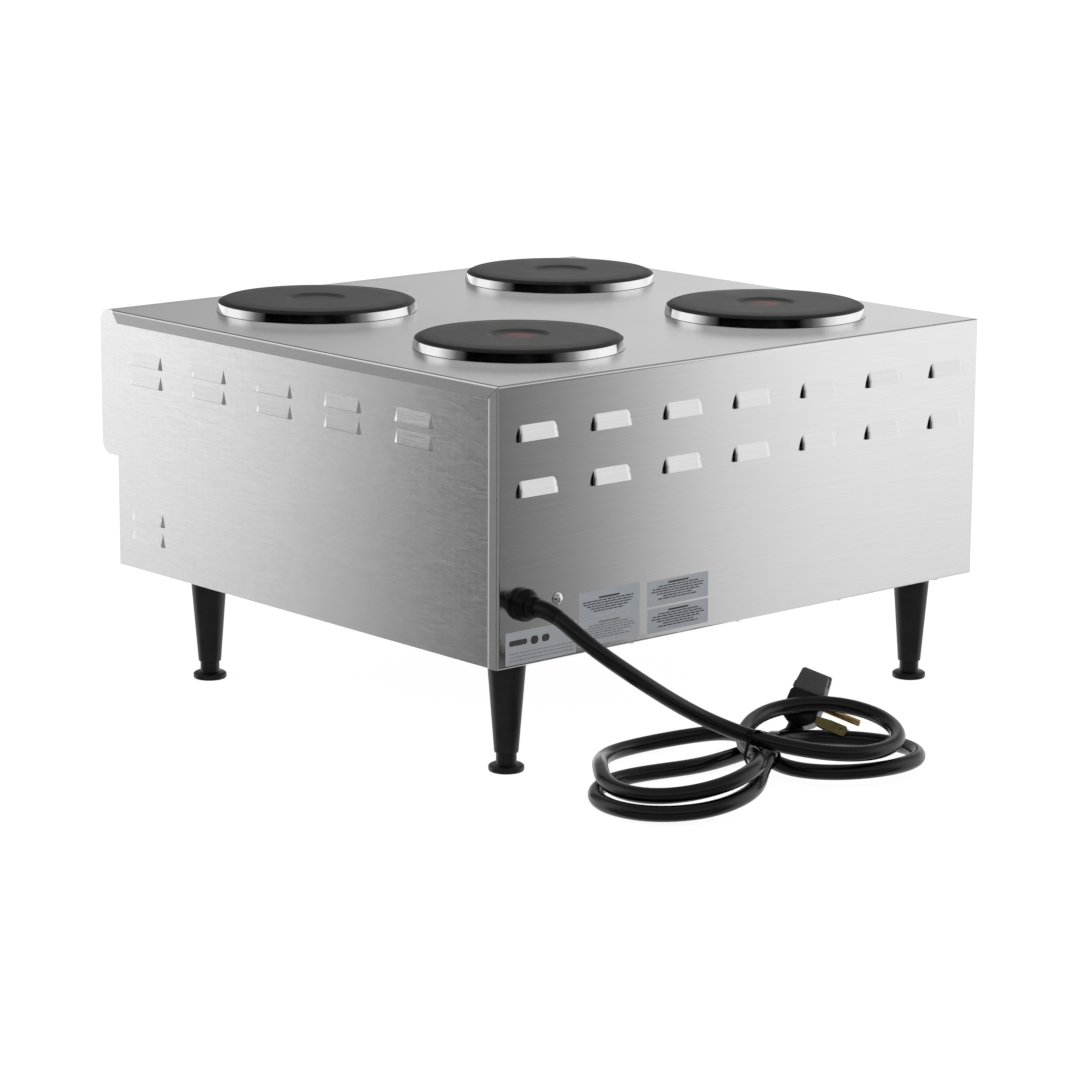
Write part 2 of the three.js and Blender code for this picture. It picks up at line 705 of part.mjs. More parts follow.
// Gland body through the back panel, its nut, and the earthing screw beside it.
function inlet() {
  const centre = [GLAND_X, GLAND_Z];
  const neck = bar("y", centre, 10, BACK_Y - 16, BACK_Y + 2);
  const boss = bar("y", centre, GLAND_RADIUS, BACK_Y + GAP, BACK_Y + GLAND_LENGTH);
  const bore = bar("y", centre, GLAND_BORE, BACK_Y - 20, BACK_Y + 40);
  piece("gland_body", cut(joined(neck, boss), bore), BLACK);
  const nut = bar("y", centre, 10.5, BACK_Y + GLAND_LENGTH + GAP, CORD_EXIT_Y, 16);
  piece("gland_nut", cut(nut, bore), BLACK);

  const dome = [
    [0, -8],
    [2, -8],
    [2, 0.3],
    [4.6, 0.3],
    [4.4, 1.8],
    [3, 3.4],
    [0, 4],
  ];
  const screw = piece("earth_screw", turned(dome, 20), POLISHED);
  screw.rotation.x = -Math.PI / 2;
  screw.position.set(EARTH_SCREW[0], BACK_Y, EARTH_SCREW[1]);

  const terminal = block([200, BACK_Y - 40, 120], [252, BACK_Y - 14, 146]);
  const wells = [-18, -6, 6, 18].map((dx) =>
    block([226 + dx - 3.5, BACK_Y - 36, 134], [226 + dx + 3.5, BACK_Y - 18, 150]),
  );
  piece("mains_terminal", cut(terminal, ...wells), CERAMIC);
}

// A uniform cubic B-spline through space that starts at its first guide point and ends at its last.
class GuidedCurve extends THREE.Curve {
  constructor(points) {
    super();
    const places = points.map((point) => new THREE.Vector3(...point));
    const [first, last] = [places[0], places[places.length - 1]];
    this.guides = [first, first, ...places, last, last];
    this.arcLengthDivisions = 1200;
  }
  getPoint(t, target = new THREE.Vector3()) {
    const spans = this.guides.length - 3;
    const span = Math.min(Math.floor(t * spans), spans - 1);
    const u = t * spans - span;
    const weights = [
      (1 - u) ** 3 / 6,
      (3 * u ** 3 - 6 * u ** 2 + 4) / 6,
      (-3 * u ** 3 + 3 * u ** 2 + 3 * u + 1) / 6,
      u ** 3 / 6,
    ];
    target.set(0, 0, 0);
    weights.forEach((weight, i) => target.addScaledVector(this.guides[span + i], weight));
    return target;
  }
}

// The stretch of a curve between two shares of its length.
class Stretch extends THREE.Curve {
  constructor(whole, from, to) {
    super();
    this.whole = whole;
    this.from = from;
    this.to = to;
  }
  getPoint(t, target = new THREE.Vector3()) {
    return this.whole.getPointAt(this.from + (this.to - this.from) * t, target);
  }
}

// A round tube along a curve.
function tube(curve, radius, sides, steps) {
  const section = new THREE.Shape();
  for (let i = 0; i < sides; i++) {
    const angle = (2 * Math.PI * i) / sides;
    const point = [radius * Math.cos(angle), radius * Math.sin(angle)];
    if (i === 0) section.moveTo(...point);
    else section.lineTo(...point);
  }
  return solid(new THREE.ExtrudeGeometry(section, { steps, extrudePath: curve, bevelEnabled: false }));
}

// The cord, and the tapered relief round its start.
function cord() {
  const route = new GuidedCurve(CORD_POINTS);
  const length = route.getLength();
  const relief = new Stretch(route, 0.5 / length, RELIEF_LENGTH / length);
  const steps = 4;
  const rings = [];
  for (let i = 0; i < steps; i++) {
    const radius = 9.4 - (1.6 * i) / (steps - 1);
    const part = new Stretch(relief, i / steps, (i + 1) / steps + (i < steps - 1 ? 0.02 : 0));
    rings.push(tube(part, radius, 12, 2));
  }
  piece("strain_relief", joined(...rings), RUBBER);
  const lead = new Stretch(route, (RELIEF_LENGTH + GAP) / length, 1 - (PLUG_NECK + GAP) / length);
  piece("power_cord", tube(lead, CORD_RADIUS, 8, 78), RUBBER);
}

// The plug's frame: x along the body away from the cord, y along the blades, z across.
function plugFrame() {
  const [yaw, dip, lean] = [PLUG_YAW, PLUG_DIP, PLUG_LEAN].map(THREE.MathUtils.degToRad);
  const level = new THREE.Vector3(Math.cos(yaw), Math.sin(yaw), 0);
  const across = Z_AXIS.clone().cross(level);
  const blades = level.multiplyScalar(Math.cos(dip)).addScaledVector(Z_AXIS, -Math.sin(dip));
  const body = blades.clone().cross(across);
  body.multiplyScalar(Math.cos(lean)).addScaledVector(across, Math.sin(lean));
  const side = body.clone().cross(blades);
  return new THREE.Matrix4().makeBasis(body, blades, side).setPosition(...PLUG_ENTRY);
}

// Moulded angle plug with two blades and an earth pin.
function plug() {
  const placed = new THREE.Group();
  placed.applyMatrix4(plugFrame());
  const body = outline([
    [9, -9],
    [14, -PLUG_HALF],
    [PLUG_LENGTH - 4, -PLUG_HALF],
    [PLUG_LENGTH, -PLUG_HALF + 4],
    [PLUG_LENGTH, PLUG_HALF - 4],
    [PLUG_LENGTH - 4, PLUG_HALF],
    [16, PLUG_HALF],
    [9, 8],
  ]);
  const depth = PLUG_WIDTH - 2 * PLUG_EDGE;
  const shell = new THREE.ExtrudeGeometry(body, {
    depth,
    bevelThickness: PLUG_EDGE,
    bevelSize: PLUG_EDGE,
    bevelOffset: -PLUG_EDGE,
    bevelSegments: 2,
  });
  const neck = tube(new GuidedCurve(PLUG_NECK_POINTS), PLUG_NECK_RADIUS, 12, 8);
  const pin = bar("y", [EARTH_PIN.x, 0], EARTH_PIN.radius, PLUG_HALF + GAP, EARTH_PIN.reach, 12);
  const parts = {
    plug_body: [joined(solid(shell.translate(0, 0, -depth / 2)), neck), RUBBER],
    plug_blade_left: [blade(BLADE.apart / 2), BRASS],
    plug_blade_right: [blade(-BLADE.apart / 2), BRASS],
    plug_earth_pin: [pin, BRASS],
  };
  for (const [name, [made, finish]] of Object.entries(parts)) placed.add(piece(name, made, finish));
  model.add(placed);
}

// A flat blade with a chamfered tip, at one side of the plug's middle.
function blade(z) {
  const { x, half, thick, reach } = BLADE;
  const shape = outline([
    [x - half, PLUG_HALF + GAP],
    [x + half, PLUG_HALF + GAP],
    [x + half, reach - 2],
    [x + half - 2, reach],
    [x - half + 2, reach],
    [x - half, reach - 2],
  ]);
  const geometry = new THREE.ExtrudeGeometry(shape, { depth: thick, bevelEnabled: false });
  return solid(geometry.translate(0, 0, z - thick / 2));
}

// ---- The whole unit ----

deckAndBack();
sidePanel("side_panel_right", 1);
sidePanel("side_panel_left", -1);
controlPanel();
lowerFrontPanel();
basePan();
heatShield();
for (const [place, centre] of Object.entries(PLATES)) {
  castPlate(`plate_${place}`, centre);
  spillRing(`spill_ring_${place}`, centre);
  clampBar(`clamp_bar_${place}`, centre);
  plateTerminal(`plate_terminal_${place}`, centre);
}
KNOB_XS.forEach((x, i) => {
  heatSwitch(`heat_switch_${i + 1}`, x);
  shaft(`switch_shaft_${i + 1}`, x);
  knob(`knob_${i + 1}`, x);
  lamp(`lamp_${i + 1}`, x);
});
for (const [place, centre] of legPlaces()) {
  leg(`leg_${place}`, centre);
  foot(`foot_${place}`, centre);
}
inlet();
cord();
plug();

export default model;
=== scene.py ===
"""Looks of a four-plate electric hot plate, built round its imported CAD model.

Metres, +Z up. The controls face -Y and the mains cord leaves the back, towards +Y.
"""
import bisect
import math
import random

import bmesh
import bpy
from mathutils import Matrix, Vector, geometry


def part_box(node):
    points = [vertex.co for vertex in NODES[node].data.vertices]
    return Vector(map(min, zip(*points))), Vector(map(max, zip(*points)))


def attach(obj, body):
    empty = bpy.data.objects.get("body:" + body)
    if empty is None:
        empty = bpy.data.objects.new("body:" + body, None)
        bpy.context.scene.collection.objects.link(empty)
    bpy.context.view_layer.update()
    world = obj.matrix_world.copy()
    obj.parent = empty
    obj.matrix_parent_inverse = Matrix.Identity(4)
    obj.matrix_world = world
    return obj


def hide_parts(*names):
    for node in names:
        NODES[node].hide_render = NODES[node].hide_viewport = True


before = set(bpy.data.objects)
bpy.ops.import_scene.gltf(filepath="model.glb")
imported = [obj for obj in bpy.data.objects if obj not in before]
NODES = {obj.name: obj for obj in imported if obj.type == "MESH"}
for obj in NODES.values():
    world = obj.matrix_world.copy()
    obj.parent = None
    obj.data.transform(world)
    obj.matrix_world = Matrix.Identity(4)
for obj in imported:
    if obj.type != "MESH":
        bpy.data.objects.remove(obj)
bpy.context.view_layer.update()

MM = 0.001
scene = bpy.context.scene
random.seed(11)

# ---- Sizes, in millimetres unless said otherwise ----

DECK_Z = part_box("deck_and_back")[1].z / MM
BODY_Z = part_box("deck_and_back")[0].z / MM
BACK_Y = 307.0
FASCIA_Y = -285.0
PANEL_X = 303.5
EDGE_SCREW_INSET = 7.0
REAR_SCREW_XS = (-260.8, -126.1, 7.8, 141.1)
SIDE_SCREW_YS = (-193.1, -43.4, 106.7, 256.7)
KNOB_XS = [-225.0, -75.0, 75.0, 225.0]
KNOB_Z = 272.0
LAMP_Z = 323.0
PLACES = ("rear_right", "rear_left", "front_right", "front_left")
GLAND = (276.0, 160.0)  # X and Z
EARTH_SCREW = (236.0, 159.0)  # X and Z
CORD_RADIUS = 7.0
CORD_STEP = 6.0
TOUCH_GAP = 0.3
RELIEF_LENGTH = 26.0
RELIEF_START = 0.4
RELIEF_RADIUS = 8.3
RELIEF_TAPER = 1.1  # how much smaller the radius is at the end
RELIEF_ROUNDING = 0.15  # how much more it falls just before the end
PLUG_NECK = 18.0
PLUG_ENTRY = (0.006, 0.373, 0.0088)  # metres, where the route ends at the plug
PLUG_YAW, PLUG_DIP, PLUG_LEAN = 120.1, 17.6, 23.5  # degrees
FLAT_WIDTH = 1.9  # facets of the CAD sheets wider than this stay flat

# Steps of round shapes.
FILLET_STEPS = 5
CORNER_STEPS = 4
SLEEVE_SIDES = 32
HOLE_STEPS = 24

# ---- Camera ----

CAMERA_PLACE = (2.3217, 2.6318, 0.8796)
CAMERA_TURN = (77.924, -0.320, 138.455)  # degrees
CAMERA_LENS = 122.03


def make_camera():
    data = bpy.data.cameras.new("camera")
    data.lens = CAMERA_LENS
    data.sensor_width = 36.0
    camera = bpy.data.objects.new("camera", data)
    camera.location = CAMERA_PLACE
    camera.rotation_euler = [math.radians(a) for a in CAMERA_TURN]
    scene.collection.objects.link(camera)
    scene.camera = camera


make_camera()

# ---- Materials ----

NOISE_RANGE = (0.3, 0.7)  # where nearly all of a noise lies
IRON_SHADED_SHOULDER = (0.080, 0.0915)  # metres from the plate's centre, where its turned edge, painted near black as shade, begins and ends
DOT_EDGE = (0.014, 0.027)  # metres from the plate's centre, where the red starts to wear off and ends


class Shader:
    """A material with one Principled shader, whose other nodes are added by name."""

    def __init__(self, name, **sockets):
        self.material = bpy.data.materials.new(name)
        self.material.use_nodes = True
        self.tree = self.material.node_tree
        self.bsdf = self.tree.nodes["Principled BSDF"]
        self.fill(self.bsdf, sockets)
        self.coords = self.tree.nodes.new("ShaderNodeTexCoord").outputs["Object"]

    def fill(self, node, sockets):
        for key, value in sockets.items():
            socket = node.inputs[key if isinstance(key, int) else key.replace("_", " ")]
            if isinstance(value, bpy.types.NodeSocket):
                self.tree.links.new(value, socket)
            else:
                socket.default_value = value

    def add(self, kind, **sockets):
        node = self.tree.nodes.new("ShaderNode" + kind)
        self.fill(node, sockets)
        return node.outputs[0]

    def math(self, operation, *values, clamp=False):
        node = self.tree.nodes.new("ShaderNodeMath")
        node.operation = operation
        node.use_clamp = clamp
        for i, value in enumerate(values):
            self.fill(node, {i: value})
        return node.outputs[0]

    def noise(self, scale, detail=3.0, roughness=0.5, stretch=None, coords=None):
        """Noise over the object. stretch scales the place over X, Y and Z first."""
        vector = coords or self.coords
        if stretch:
            vector = self.add("Mapping", Vector=vector, Scale=stretch)
        return self.add("TexNoise", Vector=vector, Scale=scale, Detail=detail, Roughness=roughness)

    def spread(self, value, low, high, source=(0.0, 1.0)):
        """value, from one range to another."""
        node = self.tree.nodes.new("ShaderNodeMapRange")
        self.fill(node, {"Value": value, "From Min": source[0], "From Max": source[1],
                         "To Min": low, "To Max": high})
        return node.outputs[0]

    def blend(self, share, first, second):
        """A colour that is a share of the way from the first to the second."""
        node = self.tree.nodes.new("ShaderNodeMix")
        node.data_type = "RGBA"
        self.fill(node, {0: share, 6: first, 7: second})
        return node.outputs[2]

    def colour(self, share, first, second):
        self.fill(self.bsdf, {"Base Color": self.blend(share, rgba(first), rgba(second))})

    def rough(self, value, low, high):
        self.fill(self.bsdf, {"Roughness": self.spread(value, low, high, NOISE_RANGE)})

    def bump(self, height, strength, distance):
        normal = self.add("Bump", Height=height, Strength=strength, Distance=distance)
        self.fill(self.bsdf, {"Normal": normal})


def rgba(colour):
    if isinstance(colour, (int, float)):
        return (colour, colour, colour, 1.0)
    return (*colour, 1.0)


def brushed_steel(name, level, tone=(0.66, 0.72), rough=(0.16, 0.22), strength=0.2):
    """Sheet with a fine straight grain. level is the stretch of the grain over X, Y and Z."""
    s = Shader(name, Metallic=1.0)
    fine = s.noise(1.0, 3.0, 0.7, stretch=level)
    broad = s.noise(1.0, 2.0, 0.5, stretch=[v / 5 if v > 50 else v for v in level])
    cloud = s.noise(7.0, 4.0, 0.6)
    grain = s.math("ADD", s.math("MULTIPLY", fine, 0.75), s.math("MULTIPLY", broad, 0.25))
    s.colour(s.spread(grain, 0.0, 1.0, NOISE_RANGE), tone[0], tone[1])
    s.rough(s.math("ADD", s.math("MULTIPLY", grain, 0.6), s.math("MULTIPLY", cloud, 0.4)), *rough)
    s.bump(fine, strength, 0.00012)
    return s.material


def polished_steel(name, rough=(0.05, 0.12)):
    s = Shader(name, Metallic=1.0)
    smear = s.noise(60.0, 3.0)
    s.colour(smear, 0.72, 0.82)
    s.rough(smear, *rough)
    s.bump(s.noise(900.0, 2.0), 0.05, 0.0001)
    return s.material


def cast_iron(name, dot=0.0):
    """Machined and seasoned iron, with faint turned rings, a turned edge painted near black as shade and,
    with a dot, a worn red centre.
    """
    s = Shader(name, Metallic=0.0, Specular_IOR_Level=0.5)
    split = s.tree.nodes.new("ShaderNodeSeparateXYZ")
    s.fill(split, {0: s.coords})
    x, y = split.outputs[:2]
    radius = s.math("SQRT", s.math("ADD", s.math("MULTIPLY", x, x), s.math("MULTIPLY", y, y)))
    wobble = s.math("MULTIPLY", s.noise(20.0, 2.0), 0.002)
    ring_coords = s.add("CombineXYZ", X=s.math("ADD", radius, wobble))
    rings = s.noise(1.0, 3.0, 0.6, stretch=(900.0, 1.0, 1.0), coords=ring_coords)
    stain = s.noise(28.0, 5.0, 0.6)
    grit = s.noise(1400.0, 2.0)
    stained = s.spread(stain, 0.0, 1.0, (0.35, 0.65))
    tone = s.blend(stained, rgba((0.026, 0.025, 0.0245)), rgba((0.055, 0.053, 0.051)))
    tone = s.blend(s.math("MULTIPLY", rings, 0.3), tone, rgba(0.06))
    # Painted shade: the turned edge fades to near black.
    shaded_shoulder = s.spread(radius, 0.0, 1.0, IRON_SHADED_SHOULDER)
    tone = s.blend(s.math("MULTIPLY", shaded_shoulder, 1.0, clamp=True), tone, rgba(0.003))
    if dot:
        ragged = s.math("ADD", radius, s.math("MULTIPLY", s.noise(90.0, 4.0), 0.016))
        disc = s.math("MULTIPLY", s.spread(ragged, 1.0, 0.0, DOT_EDGE), dot, clamp=True)
        flakes = s.spread(s.noise(160.0, 3.0), 0.1, 1.0, (0.4, 0.62))
        tone = s.blend(s.math("MULTIPLY", disc, flakes), tone, rgba((0.50, 0.12, 0.10)))
    s.fill(s.bsdf, {"Base Color": tone})
    mixed = s.math("ADD", s.math("MULTIPLY", rings, 0.5), s.math("MULTIPLY", stain, 0.5))
    s.rough(mixed, 0.36, 0.56)
    s.bump(s.math("ADD", s.math("MULTIPLY", rings, 0.6), s.math("MULTIPLY", grit, 0.4)), 0.25, 0.0002)
    return s.material


def moulded(name, low, high, rough=(0.32, 0.5), grain=1800.0, strength=0.15, gloss=0.5):
    """Moulded plastic or rubber with a fine skin."""
    s = Shader(name, Specular_IOR_Level=gloss)
    scuff = s.noise(45.0, 5.0, 0.6)
    s.colour(s.spread(scuff, 0.0, 1.0, (0.35, 0.7)), low, high)
    s.rough(scuff, *rough)
    s.bump(s.noise(grain, 2.0), strength, 0.0001)
    return s.material


def foil(name, low, high):
    """Printed metal foil."""
    s = Shader(name, Metallic=0.35)
    sheen = s.noise(30.0, 3.0)
    s.colour(sheen, low, high)
    s.rough(sheen, 0.3, 0.45)
    s.bump(s.noise(500.0, 2.0), 0.08, 0.0001)
    return s.material


def red_lens(name):
    s = Shader(name, Transmission_Weight=0.35, IOR=1.49)
    s.colour(s.noise(400.0, 2.0), (0.55, 0.03, 0.01), (0.75, 0.08, 0.02))
    s.rough(s.noise(80.0, 2.0), 0.06, 0.16)
    return s.material


def brass(name, dark, light):
    s = Shader(name, Metallic=1.0)
    tarnish = s.noise(120.0, 5.0, 0.6)
    s.colour(s.spread(tarnish, 0.0, 1.0, (0.35, 0.65)), dark, light)
    s.rough(tarnish, 0.18, 0.34)
    s.bump(s.noise(300.0, 2.0), 0.1, 0.0001)
    return s.material


# The steels' grain, as its stretch over X, Y and Z.
WALL_GRAIN = (14.0, 14.0, 2600.0)
DECK_GRAIN = (14.0, 2600.0, 14.0)
STEEL = brushed_steel("steel_wall", WALL_GRAIN, rough=(0.06, 0.10))
# Painted shade: the flange at the back corner of the deck's sheet is a darker copy of the wall steel.
SHADED_FLANGE_STEEL = brushed_steel("steel_flange_shaded", WALL_GRAIN, tone=(0.40, 0.43), rough=(0.26, 0.30), strength=0.02)
DECK_STEEL = brushed_steel("steel_deck", DECK_GRAIN, rough=(0.17, 0.23), strength=0.12)
# Painted shade: the deck's side flange is a darker copy of the wall steel.
SHADED_EDGE_STEEL = brushed_steel("steel_edge_shaded", WALL_GRAIN, tone=(0.43, 0.46), rough=(0.24, 0.28), strength=0.05)
INNER = brushed_steel("zinc_sheet", (8.0, 8.0, 700.0), tone=(0.42, 0.56), rough=(0.35, 0.5))
RING = polished_steel("ring_steel")
SCREW = polished_steel("screw_steel", (0.12, 0.25))
IRON = cast_iron("cast_iron")
IRON_DOT = cast_iron("cast_iron_dotted", dot=0.75)
LEG = moulded("leg_black", 0.006, 0.012, rough=(0.30, 0.42), gloss=0.35)
KNOB = moulded("knob_black", 0.014, 0.026)
GLAND_BLACK = moulded("gland_black", 0.001, 0.003, rough=(0.26, 0.36), gloss=0.2)
CORD = moulded("cord_black", 0.001, 0.003, rough=(0.22, 0.30), grain=1200.0, strength=0.12, gloss=0.4)
TIE = moulded("tie_black", 0.002, 0.004, rough=(0.5, 0.6), gloss=0.15)
PLUG = moulded("plug_black", 0.0015, 0.004, rough=(0.28, 0.40), gloss=0.35)
PLUG_GRIP = moulded("plug_grip", 0.060, 0.095, rough=(0.45, 0.6))
PHENOLIC = moulded("switch_brown", (0.035, 0.022, 0.015), (0.06, 0.04, 0.03))
CERAMIC = moulded("ceramic_white", (0.62, 0.6, 0.54), (0.75, 0.73, 0.67), rough=(0.35, 0.6))
WHITE = moulded("pointer_white", 0.65, 0.8)
LENS = red_lens("lens_red")
PRINT = moulded("print_dark", 0.02, 0.05, rough=(0.4, 0.6))
FAINT_PRINT = foil("print_faint", (0.20, 0.21, 0.23), (0.25, 0.26, 0.28))
FOIL = foil("label_foil", (0.40, 0.43, 0.47), (0.48, 0.51, 0.55))
PALE_FOIL = foil("plate_foil", (0.42, 0.44, 0.47), (0.50, 0.52, 0.55))
BRASS = brass("brass", (0.62, 0.42, 0.16), (0.80, 0.62, 0.30))
# Painted shade: the blades take a darker copy of the brass.
SHADED_BLADE_BRASS = brass("blade_brass_shaded", (0.10, 0.085, 0.035), (0.18, 0.145, 0.065))

# ---- Making pieces ----


def finished(name, mesh, material, body, slot, smooth=32.0, bevel=0.0, segments=2):
    """An object of a mesh: smooth up to an angle, in one material, on one body."""
    mesh.validate()
    mesh.shade_smooth()
    mesh.set_sharp_from_angle(angle=math.radians(smooth))
    mesh.materials.append(material)
    piece = bpy.data.objects.new(name, mesh)
    scene.collection.objects.link(piece)
    if bevel:
        soften(piece, bevel, segments)
    piece["on"] = body
    return piece


def placed(piece, matrix=None):
    """Puts a piece in its place and lets it ride on its body."""
    if matrix is not None:
        piece.matrix_world = matrix
    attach(piece, piece["on"])
    return piece


def soften(piece, width, segments):
    """Rounds a piece's sharp edges, to a width in millimetres."""
    bevel = piece.modifiers.new("edges", "BEVEL")
    bevel.width = width * MM
    bevel.segments = segments
    bevel.limit_method = "ANGLE"
    bevel.angle_limit = math.radians(35)
    bevel.harden_normals = True
    bevel.miter_outer = "MITER_ARC"


def filleted(points):
    """A profile of (radius, height, fillet) with each corner rounded by its fillet."""
    corners = [(Vector(p[:2]), p[2] if len(p) > 2 else 0.0) for p in points]
    line = []
    for i, (here, fillet) in enumerate(corners):
        if not fillet or i in (0, len(corners) - 1):
            line.append(here)
            continue
        before = corners[i - 1][0] - here
        after = corners[i + 1][0] - here
        half = before.angle(after) / 2
        reach = min(fillet / math.tan(half), before.length * 0.49, after.length * 0.49)
        start = here + before.normalized() * reach
        end = here + after.normalized() * reach
        for k in range(FILLET_STEPS + 1):
            t = k / FILLET_STEPS
            line.append((1 - t) ** 2 * start + 2 * t * (1 - t) * here + t * t * end)
    return line


def data_of(mesh, name):
    """A bmesh as mesh data."""
    data = bpy.data.meshes.new(name)
    mesh.to_mesh(data)
    mesh.free()
    return data


def closed(mesh, name):
    """A closed bmesh as mesh data, with its faces turned out."""
    bmesh.ops.recalc_face_normals(mesh, faces=mesh.faces)
    return data_of(mesh, name)


def skin(mesh, rings):
    """Faces between each ring of points and the next."""
    for low, high in zip(rings, rings[1:]):
        for k in range(len(low)):
            j = (k + 1) % len(low)
            mesh.faces.new((low[k], low[j], high[j], high[k]))


def turned_mesh(name, profile, sides=96, flutes=0, depth=0.0, fluted=(0, 0)):
    """A profile turned round Z. Between two heights its wall can have flutes."""
    mesh = bmesh.new()
    rings = []
    for radius, z in filleted(profile):
        if not radius:
            rings.append([mesh.verts.new((0, 0, z * MM))])
            continue
        ring = []
        for i in range(sides):
            angle = 2 * math.pi * i / sides
            r = radius
            if flutes and fluted[0] <= z <= fluted[1]:
                r -= depth * max(0.0, math.cos(flutes * angle)) ** 2
            ring.append(mesh.verts.new((r * MM * math.cos(angle), r * MM * math.sin(angle), z * MM)))
        rings.append(ring)
    if len(rings[0]) > 1:
        rings.append(rings[0])
    for low, high in zip(rings, rings[1:]):
        for i in range(sides):
            j = (i + 1) % sides
            quad = [low[i % len(low)], low[j % len(low)], high[j % len(high)], high[i % len(high)]]
            corners = list(dict.fromkeys(quad))
            if len(corners) > 2:
                mesh.faces.new(corners)
    return closed(mesh, name)


def turned(name, profile, material, body, slot, matrix, **how):
    mesh = turned_mesh(name, profile, **how)
    return placed(finished(name, mesh, material, body, slot), matrix)


def prism_mesh(name, outline, low, high):
    """An outline in X and Y, given depth along Z."""
    mesh = bmesh.new()
    ends = [[mesh.verts.new((x * MM, y * MM, z * MM)) for x, y in outline] for z in (low, high)]
    mesh.faces.new(list(reversed(ends[0])))
    mesh.faces.new(ends[1])
    skin(mesh, ends)
    return closed(mesh, name)


def prism(name, outline, low, high, material, body, slot, matrix, bevel):
    mesh = prism_mesh(name, outline, low, high)
    return placed(finished(name, mesh, material, body, slot, bevel=bevel), matrix)


def box_outline(x0, x1, y0, y1, corner):
    """A rectangle with round corners."""
    points = []
    for cx, cy, start in ((x1 - corner, y0 + corner, -90), (x1 - corner, y1 - corner, 0),
                          (x0 + corner, y1 - corner, 90), (x0 + corner, y0 + corner, 180)):
        for k in range(CORNER_STEPS + 1):
            angle = math.radians(start + 90 * k / CORNER_STEPS)
            points.append((cx + corner * math.cos(angle), cy + corner * math.sin(angle)))
    return points


def merged(name, meshes, material, body, slot, matrix=None, **how):
    """One piece of several meshes, each closed."""
    mesh = bmesh.new()
    for part in meshes:
        mesh.from_mesh(part)
        bpy.data.meshes.remove(part)
    return placed(finished(name, data_of(mesh, name), material, body, slot, **how), matrix)


def at(x, y, z):
    return Matrix.Translation((x * MM, y * MM, z * MM))


FACING_FRONT = Matrix.Rotation(math.radians(90), 4, "X")  # local +Z to -Y
FACING_BACK = Matrix.Rotation(math.radians(-90), 4, "X")  # local +Z to +Y

# ---- The mains cord ----

# Guide points of the route, in metres, from the gland to the plug. It hangs from the gland, lies on the
# floor as two loops on each side of a tie, and the last loop leans on the plug. They are the CAD route's,
# but (-0.014, 0.5247, 0.014) lies 1.3 mm further in, so that the round lead stays in the CAD model's box.
CORD_POINTS = [
    (0.276, 0.328, 0.160), (0.276, 0.338, 0.160), (0.276, 0.359, 0.155), (0.270, 0.386, 0.136),
    (0.230, 0.415, 0.101), (0.167, 0.426, 0.059), (0.121, 0.474, 0.038), (0.068, 0.523, 0.030),
    (0.002, 0.510, 0.030), (-0.029, 0.457, 0.038), (-0.010, 0.401, 0.045), (0.045, 0.376, 0.041),
    (0.099, 0.400, 0.036), (0.132, 0.438, 0.028), (0.160, 0.494, 0.038), (0.219, 0.512, 0.031),
    (0.270, 0.479, 0.020), (0.281, 0.419, 0.018), (0.243, 0.371, 0.025), (0.207, 0.333, 0.011),
    (0.174, 0.304, 0.007), (0.124, 0.302, 0.007), (0.084, 0.334, 0.016), (0.076, 0.389, 0.029),
    (0.105, 0.441, 0.007), (0.070, 0.521, 0.015), (-0.014, 0.5247, 0.014), (-0.056, 0.455, 0.008),
    (-0.020, 0.390, 0.007), (0.056, 0.387, 0.016), (0.092, 0.440, 0.037), (0.141, 0.465, 0.016),
    (0.178, 0.503, 0.018), (0.238, 0.514, 0.012), (0.288, 0.475, 0.008), (0.290, 0.407, 0.007),
    (0.234, 0.364, 0.007), (0.164, 0.385, 0.008), (0.130, 0.397, 0.009), (0.006, 0.373, 0.0088),
]


def spline_through(points, steps):
    """A uniform cubic B-spline that starts at the first guide point and ends at the last."""
    guides = [Vector(p) for p in (points[:1] * 2 + points + points[-1:] * 2)]
    line = []
    for k in range(len(guides) - 3):
        for i in range(steps):
            u = i / steps
            weights = ((1 - u) ** 3 / 6, (3 * u**3 - 6 * u**2 + 4) / 6,
                       (-3 * u**3 + 3 * u**2 + 3 * u + 1) / 6, u**3 / 6)
            line.append(sum((guides[k + j] * w for j, w in enumerate(weights)), Vector()))
    line.append(guides[-1])
    return line


class Route:
    """A line that can be walked by distance."""

    def __init__(self, line):
        self.line = line
        self.marks = [0.0]
        for a, b in zip(line, line[1:]):
            self.marks.append(self.marks[-1] + (b - a).length)
        self.length = self.marks[-1]

    def at(self, distance):
        low = bisect.bisect_right(self.marks, distance) - 1
        low = min(max(low, 0), len(self.marks) - 2)
        share = (distance - self.marks[low]) / (self.marks[low + 1] - self.marks[low])
        return self.line[low].lerp(self.line[low + 1], share)

    def along(self, distance):
        step = 0.0005
        low = max(0.0, distance - step)
        return (self.at(min(self.length, distance + step)) - self.at(low)).normalized()

    def stretch(self, start, end, step):
        count = max(2, round((end - start) / step))
        return [self.at(start + (end - start) * i / count) for i in range(count + 1)]


